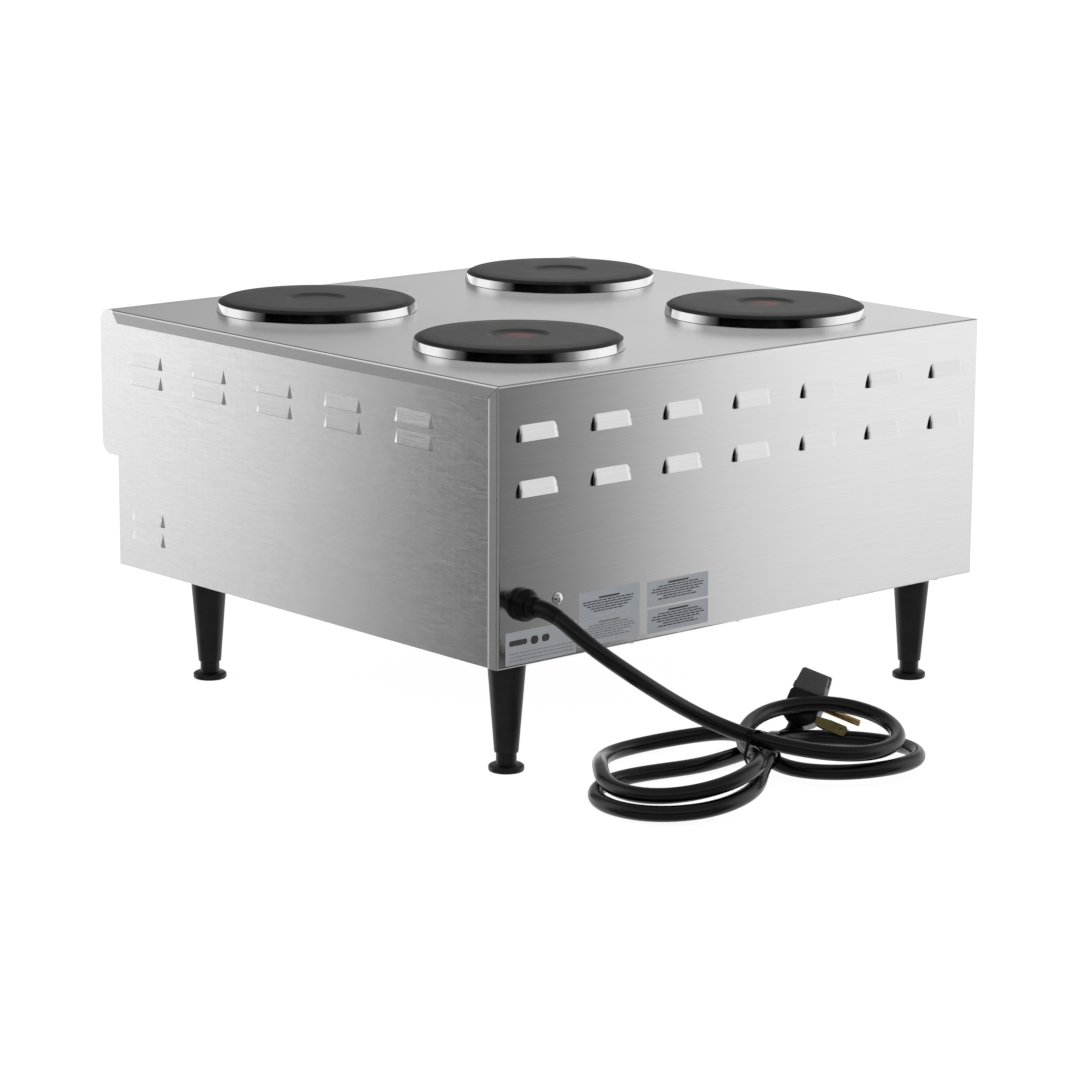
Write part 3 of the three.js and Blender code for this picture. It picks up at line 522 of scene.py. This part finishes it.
def sleeve_mesh(name, centres, radii):
    """A closed tube along centres with its own radius at each, without twist."""
    mesh = bmesh.new()
    rings = []
    side = None
    for i, centre in enumerate(centres):
        ahead = centres[min(i + 1, len(centres) - 1)] - centres[max(i - 1, 0)]
        ahead.normalize()
        if side is None:
            side = ahead.cross(Vector((0.0, 0.0, 1.0))).normalized()
        side = (side - ahead * side.dot(ahead)).normalized()
        up = ahead.cross(side)
        ring = []
        for k in range(SLEEVE_SIDES):
            angle = 2 * math.pi * k / SLEEVE_SIDES
            out = side * math.cos(angle) + up * math.sin(angle)
            ring.append(mesh.verts.new(centre + radii[i] * MM * out))
        rings.append(ring)
    skin(mesh, rings)
    mesh.faces.new(list(reversed(rings[0])))
    mesh.faces.new(rings[-1])
    return closed(mesh, name)


ROUTE = Route(spline_through(CORD_POINTS, 12))
CORD_END = ROUTE.length - (PLUG_NECK + TOUCH_GAP) * MM


def make_cord():
    """The lead itself, from the gland to the plug's neck."""
    curve = bpy.data.curves.new("mains_lead", "CURVE")
    curve.dimensions = "3D"
    curve.bevel_depth = CORD_RADIUS * MM
    curve.bevel_resolution = 8
    curve.use_fill_caps = True
    points = ROUTE.stretch(0.0, CORD_END, CORD_STEP * MM)
    spline = curve.splines.new("POLY")
    spline.points.add(len(points) - 1)
    for target, point in zip(spline.points, points):
        target.co = (*point, 1.0)
    spline.use_smooth = True
    curve.materials.append(CORD)
    lead = bpy.data.objects.new("mains_lead", curve)
    scene.collection.objects.link(lead)
    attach(lead, "casing")
    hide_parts("power_cord")
    return lead


def make_relief():
    """Smooth tapered sleeve where the lead leaves the gland."""
    steps = 24
    centres, radii = [], []
    for i in range(steps + 1):
        share = i / steps
        centres.append(ROUTE.at((RELIEF_START + (RELIEF_LENGTH - RELIEF_START) * share) * MM))
        radii.append(RELIEF_RADIUS - RELIEF_TAPER * share - RELIEF_ROUNDING * share ** 12)
    mesh = sleeve_mesh("lead_strain_relief", centres, radii)
    relief = placed(finished("lead_strain_relief", mesh, GLAND_BLACK, "casing", "cord_rubber", smooth=60))
    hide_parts("strain_relief")
    return relief


# The tie, in metres: its plane, how far from the plane the strands are walked, how near to it their skin
# is gathered, and where the strands inside the tie lie along X.
TIE_Y = 0.460
TIE_SEARCH = 0.012
TIE_NEAR = 0.003
TIE_SPAN = (0.115, 0.160)
WALK_STEP = 0.001
TIE_SIDES = 24
# The strap's section, in millimetres, as its distance off the strands and its place along Y.
STRAP_SECTION = [(0.1, -1.8), (0.1, 1.8), (0.9, 1.8), (0.9, -1.8)]


def tied_points():
    """Points on the skin of the strands inside the tie, as (X, Z)."""
    around = []
    for k in range(round(ROUTE.length / WALK_STEP)):
        centre = ROUTE.at(k * WALK_STEP)
        if abs(centre.y - TIE_Y) > TIE_SEARCH or not TIE_SPAN[0] < centre.x < TIE_SPAN[1]:
            continue
        ahead = ROUTE.along(k * WALK_STEP)
        side = ahead.cross(Vector((0.0, 0.0, 1.0))).normalized()
        up = side.cross(ahead)
        for i in range(TIE_SIDES):
            angle = 2 * math.pi * i / TIE_SIDES
            point = centre + CORD_RADIUS * MM * (side * math.cos(angle) + up * math.sin(angle))
            if abs(point.y - TIE_Y) <= TIE_NEAR:
                around.append(Vector((point.x, point.z)))
    return around


def make_tie():
    """Flat tie pulled round the strands that cross between the loops, with its head."""
    around = tied_points()
    hull = [around[i] for i in geometry.convex_hull_2d(around)]
    middle = sum(hull, Vector((0.0, 0.0))) / len(hull)
    mesh = bmesh.new()
    rings = []
    for point in hull:
        out = (point - middle).normalized()
        ring = []
        for away, y in STRAP_SECTION:
            place = point + out * away * MM
            ring.append(mesh.verts.new((place.x, TIE_Y + y * MM, place.y)))
        rings.append(ring)
    skin(mesh, rings + rings[:1])
    top = max(hull, key=lambda point: point.x + point.y)
    head = prism_mesh("head", box_outline(-2.4, 2.4, -2.6, 2.6, 0.8), 0.2, 2.6)
    head.transform(Matrix.Translation((top.x, TIE_Y, top.y)) @ Matrix.Rotation(math.radians(45), 4, "Y"))
    return merged("cord_tie", [closed(mesh, "tie"), head], TIE, "casing", "cord_rubber", bevel=0.25)


# ---- The plug, whose own X runs from the neck through the shell, and whose own Y is the blades' way ----

# Sections along X for lofted().
SHELL_SECTIONS = [
    (9.2, -8.0, 7.5, 14.5, 2.0), (14.0, -15.8, 13.5, 16.6, 2.5), (17.0, -16.0, 15.8, 16.8, 2.5),
    (37.0, -16.0, 15.8, 16.8, 2.5), (39.5, -14.8, 14.6, 15.8, 2.5),
]
GRIP_SECTIONS = [
    (39.0, -13.6, 13.2, 14.6, 2.0), (41.0, -15.4, 14.8, 16.4, 2.4), (46.0, -15.4, 14.6, 16.2, 2.4),
    (47.0, -14.6, 13.8, 15.6, 2.2), (59.0, -13.6, 12.6, 15.0, 2.2), (60.6, -12.4, 11.4, 13.8, 2.0),
]
RIDGE_SECTIONS = [
    (52.0, -15.0, 14.4, 3.6, 0.8), (61.2, -14.2, 13.4, 3.6, 0.8), (62.0, -13.4, 12.6, 3.0, 0.8),
]
# Guide points of the neck, from the lead to inside the shell.
NECK_POINTS = [
    (-8.0, -5.2, -14.6), (-4.0, -2.6, -7.2), (0.5, -0.3, -0.5), (9.0, 0.0, 1.0), (18.0, 0.0, 1.0),
]
NECK_RADIUS = 7.7
NECK_SWELL = 0.5
NECK_GROOVE = 0.35
# Counted in steps along the neck: where it has swelled in full, its ribs' pitch and width, and their end.
NECK_SWELLED, RIB_PITCH, GROOVE_WIDTH, RIBS_END = 12, 4, 2, 20
BLADE_OUTLINE = [(15.2, 15.2), (24.8, 15.2), (24.8, 44.0), (23.0, 46.0), (17.0, 46.0), (15.2, 44.0)]
BLADE_HOLE = (20.0, 40.5)
BLADE_HOLE_RADIUS = 1.7
BLADE_THICKNESS = 1.7
BLADE_Z = 11.9
PIN_X = 33.0
PIN_PROFILE = [(0, 15.2), (3.1, 15.2), (3.1, 53.0, 2.2), (0, 53.0)]


def plug_matrix():
    yaw, dip, lean = (math.radians(a) for a in (PLUG_YAW, PLUG_DIP, PLUG_LEAN))
    up = Vector((0, 0, 1))
    level = Vector((math.cos(yaw), math.sin(yaw), 0))
    across = up.cross(level)
    blades = level * math.cos(dip) - up * math.sin(dip)
    body = blades.cross(across) * math.cos(lean) + across * math.sin(lean)
    side = body.cross(blades)
    turn = Matrix((body, blades, side)).transposed().to_4x4()
    return Matrix.Translation(PLUG_ENTRY) @ turn


def lofted(name, sections):
    """A closed mesh through round-cornered rectangles: (x, low y, high y, half width, corner)."""
    mesh = bmesh.new()
    rings = []
    for x, low, high, half, corner in sections:
        outline = box_outline(low, high, -half, half, corner)
        rings.append([mesh.verts.new((x * MM, y * MM, z * MM)) for y, z in outline])
    skin(mesh, rings)
    mesh.faces.new(rings[0])
    mesh.faces.new(rings[-1])
    return closed(mesh, name)


def ray_length(middle, ray, outline):
    """How far a ray from the middle goes to a convex outline."""
    nearest = math.inf
    for a, b in zip(outline, outline[1:] + outline[:1]):
        start, span = Vector(a) - middle, Vector(b) - Vector(a)
        cross = ray.x * span.y - ray.y * span.x
        if abs(cross) > 1e-9:
            t = (start.x * span.y - start.y * span.x) / cross
            if t > 0:
                nearest = min(nearest, t)
    return nearest


def drilled_mesh(name, outline, centre, radius, low, high):
    """A convex outline in X and Y with a round hole, given depth along Z."""
    mesh = bmesh.new()
    middle = Vector(centre)
    edge = []
    for i in range(HOLE_STEPS):
        angle = 2 * math.pi * (i + 0.5) / HOLE_STEPS
        ray = Vector((math.cos(angle), math.sin(angle)))
        edge.append((middle + ray * ray_length(middle, ray, outline), middle + ray * radius))
    rings = [[mesh.verts.new((p[k].x * MM, p[k].y * MM, z * MM)) for p in edge]
             for k, z in ((0, low), (1, low), (1, high), (0, high))]
    skin(mesh, rings + rings[:1])
    return closed(mesh, name)


def make_neck(frame_at):
    """Ribbed sleeve between the lead and the shell."""
    centres = [frame_at @ (point * MM) for point in spline_through(NECK_POINTS, 8)]
    radii = []
    for i in range(len(centres)):
        groove = NECK_GROOVE if i % RIB_PITCH < GROOVE_WIDTH and i < RIBS_END else 0.0
        radii.append(NECK_RADIUS + NECK_SWELL * min(1.0, i / NECK_SWELLED) - groove)
    mesh = sleeve_mesh("plug_neck", centres, radii)
    return placed(finished("plug_neck", mesh, PLUG, "casing", "plug_rubber", smooth=60))


def make_blade(label, z, frame_at):
    """Flat contact with a round hole near its tip."""
    half = BLADE_THICKNESS / 2
    mesh = drilled_mesh("blade", BLADE_OUTLINE, BLADE_HOLE, BLADE_HOLE_RADIUS, z - half, z + half)
    mesh.transform(frame_at)
    blade = placed(finished("plug_contact_%s" % label, mesh, SHADED_BLADE_BRASS, "casing", "brass", bevel=0.2))
    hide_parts("plug_blade_%s" % label)
    return blade


def make_plug():
    """Angle plug: black body with a side neck, a dull grip with a ridge, two blades and a pin."""
    frame_at = plug_matrix()
    body = lofted("plug_shell", SHELL_SECTIONS)
    body.transform(frame_at)
    shell = placed(finished("plug_shell", body, PLUG, "casing", "plug_rubber", bevel=0.6))
    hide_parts("plug_body")
    parts = [lofted("grip", GRIP_SECTIONS), lofted("ridge", RIDGE_SECTIONS)]
    for part in parts:
        part.transform(frame_at)
    grip = merged("plug_grip", parts, PLUG_GRIP, "casing", "plug_rubber", bevel=0.5)
    neck = make_neck(frame_at)
    blades = [make_blade(label, z, frame_at) for label, z in (("left", BLADE_Z), ("right", -BLADE_Z))]
    shank = turned_mesh("earth", PIN_PROFILE, sides=40)
    shank.transform(frame_at @ at(PIN_X, 0, 0) @ FACING_BACK)
    pin = placed(finished("plug_contact_earth", shank, BRASS, "casing", "brass"))
    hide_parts("plug_earth_pin")
    return [shell, grip, neck, pin, *blades]


lead = make_cord()
relief = make_relief()
on_the_lead = [relief, make_tie(), *make_plug()]

# ---- Plates ----


def centre_of(node):
    low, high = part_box(node)
    return (low.x + high.x) / 2 / MM, (low.y + high.y) / 2 / MM


PLATE_PROFILE = [
    (0, 9.6), (24.0, 9.6, 5.0), (29.0, 11.7, 5.0), (74.0, 11.7, 12.0), (90.5, 10.8, 4.0), (95.1, 8.9, 2.0),
    (95.1, 1.6, 0.4), (87.0, 1.6), (87.0, -5.0), (4.0, -5.0), (4.0, -45.0, 0.8), (0, -45.0),
]
RING_PROFILE = [
    (89.0, 0.3), (97.4, 0.3), (95.9, 8.2), (95.5, 8.2), (96.3, 1.6, 0.3), (89.0, 1.3),
]


def make_plates():
    for place in PLACES:
        x, y = centre_of("plate_" + place)
        here = at(x, y, DECK_Z)
        iron = IRON_DOT if place.startswith("rear") else IRON
        plate = turned("iron_plate_" + place, PLATE_PROFILE, iron, "casing", "cast_iron", here, sides=160)
        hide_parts("plate_" + place)
        ring = turned("ring_" + place, RING_PROFILE, RING, "casing", "ring_steel", here, sides=160)
        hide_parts("spill_ring_" + place)


make_plates()

# ---- Legs and feet ----

LEG_PROFILE = [
    (0, 65.7), (4.5, 65.7), (4.5, 17.0), (10.6, 17.0, 0.5), (11.0, 18.2, 0.5), (17.7, 102.6, 2.0),
    (18.0, 105.6), (0, 105.6),
]
FOOT_PROFILE = [
    (0, 0), (15.4, 0, 0.6), (16.1, 1.2, 0.6), (16.1, 4.6, 1.0), (14.2, 5.9, 1.0), (9.3, 6.6, 0.8),
    (9.2, 16.7, 0.4), (4.0, 16.7), (4.0, 53.0, 0.6), (0, 53.0),
]


def make_legs():
    for place in PLACES:
        x, y = centre_of("leg_" + place)
        here = at(x, y, 0)
        leg = turned("tapered_leg_" + place, LEG_PROFILE, LEG, "casing", "leg_plastic", here, sides=64)
        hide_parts("leg_" + place)
        foot = turned("levelling_foot_" + place, FOOT_PROFILE, LEG, "foot_" + place, "leg_plastic", here,
                      sides=64)
        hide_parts("foot_" + place)


make_legs()

# ---- Controls ----

SKIRT_PROFILE = [
    (0, 4), (22.6, 4, 0.4), (23.4, 5.2, 0.8), (22.4, 9.0, 1.2), (18.0, 11.0, 2.0), (16.6, 13.0, 1.0),
    (15.8, 18.6, 1.0), (15.0, 19.5, 0.6), (0, 19.5),
]
LAMP_PROFILE = [
    (0, -22), (4.8, -22), (4.8, 0.4), (6.5, 0.4), (6.5, 1.6, 0.4), (5.4, 2.2, 0.3), (4.6, 4.4, 1.0),
    (3.0, 6.1, 1.2), (0, 6.5),
]
GRIP_HALF, GRIP_LENGTH = 4.6, 14.6
# The printed scale round a knob, by distance from the knob's axis and degrees from mark to mark.
OFF_DOT_PLACE = 30.0
MARK_PLACE = 28.0
MARK_TURN = 45.0
MARKS = 6
INK_DEPTH = 0.1


def grip_outline():
    """A bar with one round end, which points up."""
    points = [(-GRIP_HALF, -GRIP_LENGTH), (GRIP_HALF, -GRIP_LENGTH)]
    steps = 10
    for i in range(steps + 1):
        angle = math.pi * i / steps
        points.append((GRIP_HALF * math.cos(angle), GRIP_LENGTH + GRIP_HALF * math.sin(angle)))
    return points


def make_controls():
    for i, x in enumerate(KNOB_XS, 1):
        body = "knob_%d" % i
        here = at(x, FASCIA_Y, KNOB_Z) @ FACING_FRONT
        skirt = turned_mesh("skirt", SKIRT_PROFILE, sides=144, flutes=24, depth=0.5, fluted=(11.5, 18.9))
        grip = prism_mesh("grip", grip_outline(), 12, 25.8)
        knob = merged("knob_grip_%d" % i, [skirt, grip], KNOB, body, "knob_plastic", here,
                      bevel=0.5, segments=3)
        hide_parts(body)
        line = box_outline(-0.7, 0.7, 3.0, 17.0, 0.6)
        prism("knob_line_%d" % i, line, 25.7, 25.95, WHITE, body, "knob_plastic", here, bevel=0.05)
        lens = turned("lamp_lens_%d" % i, LAMP_PROFILE, LENS, "casing", "lamp_lens",
                      at(x, FASCIA_Y, LAMP_Z) @ FACING_FRONT, sides=48)
        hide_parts("lamp_%d" % i)
        make_scale("knob_scale_%d" % i, here)


def make_scale(name, here):
    """Printed marks round a knob: a dot for off, and bars that grow with the heat."""
    marks = [prism_mesh("off", box_outline(-1.4, 1.4, -1.4, 1.4, 1.35), 0.0, INK_DEPTH)]
    marks[0].transform(at(0, OFF_DOT_PLACE, 0))
    for k in range(1, MARKS + 1):
        mark = prism_mesh("mark", box_outline(-0.6, 0.6, 0.0, 1.5 + 0.7 * k, 0.3), 0.0, INK_DEPTH)
        turn = Matrix.Rotation(-math.radians(MARK_TURN * k), 4, "Z")
        mark.transform(turn @ at(0, MARK_PLACE, 0))
        marks.append(mark)
    merged(name, marks, PRINT, "casing", "casing_steel", here)


make_controls()

# ---- Inlet and screws ----

BOSS_PROFILE = [
    (7.6, -16), (10, -16), (10, 0.3), (14.8, 0.3, 0.3), (14.8, 6.0, 6.0), (11.0, 11.5, 1.0), (7.6, 11.5),
]
COLLAR_PROFILE = [(7.6, 11.8), (10.4, 11.8, 0.3), (10.2, 15.0, 5.0), (8.4, 20.2, 0.5), (7.6, 20.2)]
EARTH_SCREW_PROFILE = [
    (0, -8), (2, -8), (2, 0.3), (5.4, 0.3, 0.2), (5.4, 1.0, 0.2), (4.4, 1.2, 0.3), (3.6, 3.4, 1.4), (0, 4.0),
]
EDGE_SCREW_PROFILE = [(0, 0.2), (3.4, 0.2, 0.1), (3.4, -1.0, 0.7), (2.2, -2.0, 0.6), (0, -2.1)]


def make_inlet():
    here = at(GLAND[0], BACK_Y, GLAND[1]) @ FACING_BACK
    boss = turned("gland_boss", BOSS_PROFILE, GLAND_BLACK, "casing", "gland_plastic", here)
    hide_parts("gland_body")
    collar = turned("gland_collar", COLLAR_PROFILE, GLAND_BLACK, "casing", "gland_plastic", here)
    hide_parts("gland_nut")
    here = at(EARTH_SCREW[0], BACK_Y, EARTH_SCREW[1]) @ FACING_BACK
    screw = turned("earth_screw_head", EARTH_SCREW_PROFILE, SCREW, "casing", "ring_steel", here, sides=48)
    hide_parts("earth_screw")


def make_edge_screws():
    """Pan heads that hold the underside of the casing."""
    places = [(x, BACK_Y - EDGE_SCREW_INSET) for x in REAR_SCREW_XS]
    for side in (-1, 1):
        places += [(side * (PANEL_X - EDGE_SCREW_INSET), y) for y in SIDE_SCREW_YS]
    for i, (x, y) in enumerate(places, 1):
        turned("edge_screw_%d" % i, EDGE_SCREW_PROFILE, SCREW, "casing", "ring_steel", at(x, y, BODY_Z),
               sides=32)


make_inlet()
make_edge_screws()

# ---- Labels ----

# Widths of the rows of bars, as shares of the label's width.
WIDE_ROWS = (0.86, 0.84, 0.72, 0.60, 0.5)
NARROW_ROWS = (0.66, 0.84, 0.88, 0.70, 0.5)
DATA_ROWS = (0.9, 0.86, 0.9)
HEADING_SHARE = 0.17
DASH_LENGTHS = (2.5, 7.0)
SHORTEST_DASH = 2.0
DASH_GAP = 0.8
# Name, X from and to, Z from and to, sheet, ink, number of rows, their widths, and the top margin.
LABELS = [
    ("upper_left", 137.3, 211.0, 134.4, 159.5, FOIL, PRINT, 5, WIDE_ROWS, 6.0),
    ("lower_left", 137.0, 211.0, 110.4, 133.9, PALE_FOIL, FAINT_PRINT, 6, NARROW_ROWS, 2.6),
    ("upper_right", 52.0, 127.4, 134.3, 157.8, FOIL, PRINT, 6, NARROW_ROWS, 2.6),
    ("lower_right", 51.7, 127.0, 110.0, 132.4, FOIL, PRINT, 6, NARROW_ROWS, 2.6),
]
DATA_PLATE = (213.0, 296.0, 107.0, 136.6)  # X from and to, Z from and to
DATA_MARKS = [(4, 25, 17, 22), (29, 38, 15.5, 23), (42, 51, 16, 22.5)]
LABEL_CORNER = 1.0
# How far off the panel a label and its print start and end.
SHEET_DEPTH = (0.02, 0.14)
PRINT_DEPTH = (0.13, 0.17)


def bar_rows(width, height, rows, spread, top, thick=1.1, pitch=2.3):
    """Outlines of plain bars: a short heading, then centred rows of dashes. spread is each row's width."""
    y = height - top - thick * 1.5
    heading = width * HEADING_SHARE
    bars = [(width / 2 - heading, width / 2 + heading, y, y + thick * 1.5)]
    for row in range(rows):
        y -= pitch
        half = width * spread[row % len(spread)] / 2
        x = width / 2 - half
        while x < width / 2 + half - SHORTEST_DASH:
            dash = min(random.uniform(*DASH_LENGTHS), width / 2 + half - x)
            bars.append((x, x + dash, y, y + thick))
            x += dash + DASH_GAP
    return bars


def on_the_back(x, z):
    """A place on the back panel, from which local X runs to the right as seen from behind."""
    return at(x, BACK_Y, z) @ Matrix(((-1, 0, 0, 0), (0, 0, 1, 0), (0, 1, 0, 0), (0, 0, 0, 1)))


def make_label(name, x0, x1, z0, z1, sheet, ink, bars):
    """A blank foil label on the back panel, with plain bars."""
    here = on_the_back(x1, z0)
    outline = box_outline(0, x1 - x0, 0, z1 - z0, LABEL_CORNER)
    prism("label_" + name, outline, *SHEET_DEPTH, sheet, "casing", "casing_steel", here, bevel=0.04)
    parts = [prism_mesh("bar", box_outline(*bar, 0.2), *PRINT_DEPTH) for bar in bars]
    merged("label_bars_" + name, parts, ink, "casing", "casing_steel", here)


def make_labels():
    for name, x0, x1, z0, z1, sheet, ink, rows, spread, top in LABELS:
        bars = bar_rows(x1 - x0, z1 - z0, rows, spread, top)
        make_label(name, x0, x1, z0, z1, sheet, ink, bars)
    x0, x1, z0, z1 = DATA_PLATE
    bars = bar_rows(x1 - x0, z1 - z0, len(DATA_ROWS), DATA_ROWS, 15.5, thick=0.8, pitch=3.2)
    make_label("data_plate", *DATA_PLATE, PALE_FOIL, FAINT_PRINT, bars[1:])
    shapes = []
    for a, b, low, high in DATA_MARKS:
        outline = box_outline(a, b, low, high, min(b - a, high - low) * 0.45)
        shapes.append(prism_mesh("mark", outline, *PRINT_DEPTH))
    merged("label_marks_data_plate", shapes, PRINT, "casing", "casing_steel", on_the_back(x1, z0))


make_labels()

# ---- Finishes of the CAD nodes ----

WALLS = ("deck_and_back", "side_panel_right", "side_panel_left", "control_panel", "lower_front_panel")
WALL_FINISHES = (STEEL, DECK_STEEL, SHADED_FLANGE_STEEL, SHADED_EDGE_STEEL)
WALL, LEVEL, REAR_FLANGE, SIDE_FLANGE = range(4)  # places in WALL_FINISHES
WELD_WITHIN = 0.00001  # metres
SPLIT_ANGLE = 36.0  # degrees, from which an edge stays sharp


def dress(node, *materials):
    mesh = NODES[node].data
    mesh.materials.clear()
    for material in materials:
        mesh.materials.append(material)


def smooth_node(node):
    """Joins a node's facets for shading, where they are narrow enough to belong to a round stretch."""
    shown = NODES[node]
    places = [vertex.co for vertex in shown.data.vertices]
    for face in shown.data.polygons:
        corners = [places[i] for i in face.vertices]
        longest = max((a - b).length for a, b in zip(corners, corners[1:] + corners[:1]))
        aligned = max(abs(v) for v in face.normal) > 0.9999
        face.use_smooth = not aligned and 2 * face.area / longest < FLAT_WIDTH * MM
    weld = shown.modifiers.new("weld", "WELD")
    weld.merge_threshold = WELD_WITHIN
    split = shown.modifiers.new("split", "EDGE_SPLIT")
    split.split_angle = math.radians(SPLIT_ANGLE)


def dress_nodes():
    for node in WALLS:
        dress(node, *WALL_FINISHES)
        for face in NODES[node].data.polygons:
            face.material_index = LEVEL if abs(face.normal.z) > 0.75 else WALL
            if node == "deck_and_back" and abs(face.normal.x) > 0.9:
                below, inside = DECK_Z * MM - face.center.z, BACK_Y * MM - face.center.y
                # The flanges take the darker copies of the wall steel, painted shade.
                face.material_index = SIDE_FLANGE if below < inside else REAR_FLANGE
        smooth_node(node)
    for node in NODES:
        if node in ("base_pan", "heat_shield") or node.startswith(("clamp_bar", "switch_shaft")):
            dress(node, INNER)
        if node.startswith("heat_switch"):
            dress(node, PHENOLIC)
        if node.startswith(("plate_terminal", "mains_terminal")):
            dress(node, CERAMIC)


dress_nodes()

# ---- Studio ----

DARK_AZIMUTH = 49.0  # degrees, the way that the dark side of the studio lies
# Brightness of the studio by how far round from its dark side, in degrees: below the horizon, where
# it is seen in the walls, and above it.
STOPS_BELOW = [
    (-180, 1.15), (-112, 1.30), (-103.2, 1.30), (-101.4, 1.05), (-99.8, 0.45), (-98.2, 0.12), (-92, 0.12),
    (-72, 0.34), (56, 0.34), (76, 0.16), (81.4, 0.13), (83.6, 0.46), (85.4, 1.0), (87.2, 1.22), (100, 1.15),
    (180, 1.15),
]
STOPS_ABOVE = [
    (-180, 1.15), (-98, 1.12), (-86, 0.70), (-72, 0.16), (-58, 0.0), (36, 0.0), (50, 0.08), (62, 0.28),
    (74, 0.78), (86, 1.06), (100, 1.15), (180, 1.15),
]
# Ramps of the studio's light, as where each starts and ends and its value at both. They run over Z of the
# way looked, or over degrees from the dark side's opposite.
HORIZON = (-0.02, 0.05, 0.0, 1.0)
FLOOR_SHADE = (-0.24, -0.15, 0.74, 1.0)
UPPER_GLOW = (0.245, 0.37, 0.0, 0.55)
FAR_SECTOR = (65.0, 45.0, 0.0, 1.0)
FAR_ACROSS = (175.0, 187.0, 0.80, 0.40)
FAR_RISE = (0.14, 0.45, 1.0, 0.35)
FAR_LEVEL = 1.15
OVERHEAD = (0.50, 0.80, 0.0, 1.0)
OVERHEAD_LEVEL = 0.30


def make_world():
    """Soft studio light: pale all round, dark on one side, softer above the far horizon."""
    world = bpy.data.worlds.new("studio")
    world.use_nodes = True
    scene.world = world
    tree = world.node_tree
    background = tree.nodes["Background"]

    def link(source, target):
        tree.links.new(source, target)

    def feed(node, values):
        for key, value in values:
            if isinstance(value, (int, float)):
                node.inputs[key].default_value = value
            else:
                link(value, node.inputs[key])
        return node.outputs[0]

    def calc(operation, *values):
        node = tree.nodes.new("ShaderNodeMath")
        node.operation = operation
        return feed(node, list(enumerate(values)))

    def ramp(value, low, high, start, end, kind="LINEAR"):
        node = tree.nodes.new("ShaderNodeMapRange")
        node.interpolation_type = kind
        return feed(node, [("Value", value), ("From Min", low), ("From Max", high),
                           ("To Min", start), ("To Max", end)])

    def mixed(share, first, second):
        rest = calc("SUBTRACT", 1.0, share)
        return calc("ADD", calc("MULTIPLY", first, rest), calc("MULTIPLY", second, share))

    split = tree.nodes.new("ShaderNodeSeparateXYZ")
    link(tree.nodes.new("ShaderNodeTexCoord").outputs["Generated"], split.inputs[0])
    x, y, z = split.outputs
    angle = calc("SUBTRACT", calc("ARCTAN2", y, x), math.radians(DARK_AZIMUTH))
    share = calc("FRACT", calc("ADD", calc("DIVIDE", angle, 2 * math.pi), 1.5))
    degrees = calc("MULTIPLY", calc("SUBTRACT", share, 0.5), 360.0)

    def stepped(stops):
        level = stops[0][1]
        for (low, before), (high, after) in zip(stops, stops[1:]):
            if before != after:
                level = calc("ADD", level, ramp(degrees, low, high, 0.0, after - before))
        return level

    low_level = calc("MULTIPLY", stepped(STOPS_BELOW), ramp(z, *FLOOR_SHADE))
    opposite = calc("MULTIPLY", calc("FRACT", calc("ADD", share, 0.5)), 360.0)
    far = ramp(calc("ABSOLUTE", calc("SUBTRACT", opposite, 180.0)), *FAR_SECTOR, "SMOOTHSTEP")
    far_light = calc("MULTIPLY", ramp(opposite, *FAR_ACROSS), ramp(z, *FAR_RISE))
    far_light = calc("MULTIPLY", far_light, FAR_LEVEL)
    high_level = calc("MAXIMUM", stepped(STOPS_ABOVE), ramp(z, *UPPER_GLOW, "SMOOTHSTEP"))
    high_level = mixed(far, high_level, far_light)
    high_level = mixed(ramp(z, *OVERHEAD, "SMOOTHSTEP"), high_level, OVERHEAD_LEVEL)
    light = mixed(ramp(z, *HORIZON, "SMOOTHSTEP"), low_level, high_level)
    link(light, background.inputs["Color"])
    background.inputs["Strength"].default_value = 1.0


FLOOR_HALF = 30.0  # metres
FLOOR_TONE = 0.25
FLOOR_GLOW = 0.94


def make_floor():
    """A plain pale floor, lit from within so that shadows stay faint."""
    half = FLOOR_HALF
    corners = [(-half, -half, 0), (half, -half, 0), (half, half, 0), (-half, half, 0)]
    mesh = bpy.data.meshes.new("floor")
    mesh.from_pydata(corners, [], [(0, 1, 2, 3)])
    floor = bpy.data.objects.new("floor", mesh)
    scene.collection.objects.link(floor)
    material = bpy.data.materials.new("floor")
    material.use_nodes = True
    bsdf = material.node_tree.nodes["Principled BSDF"]
    bsdf.inputs["Base Color"].default_value = rgba(FLOOR_TONE)
    bsdf.inputs["Roughness"].default_value = 1.0
    bsdf.inputs["Specular IOR Level"].default_value = 0.0
    bsdf.inputs["Emission Color"].default_value = rgba(1.0)
    bsdf.inputs["Emission Strength"].default_value = FLOOR_GLOW
    mesh.materials.append(material)
    floor.visible_glossy = False


LIGHT_PLACE = (0.4, 0.6, 2.6)
LIGHT_TARGET = (0.0, 0.0, 0.3)
LIGHT_SIZE = (1.6, 1.2)
LIGHT_POWER = 14.0


def make_top_light():
    """A broad lamp over the plates, which no surface mirrors."""
    data = bpy.data.lights.new("top_light", "AREA")
    data.shape = "RECTANGLE"
    data.size, data.size_y = LIGHT_SIZE
    data.energy = LIGHT_POWER
    light = bpy.data.objects.new("top_light", data)
    light.location = LIGHT_PLACE
    way = Vector(LIGHT_TARGET) - Vector(LIGHT_PLACE)
    light.rotation_euler = way.to_track_quat("-Z", "Y").to_euler()
    light.visible_glossy = False
    scene.collection.objects.link(light)


make_world()
make_floor()
make_top_light()
scene.view_settings.view_transform = "Standard"
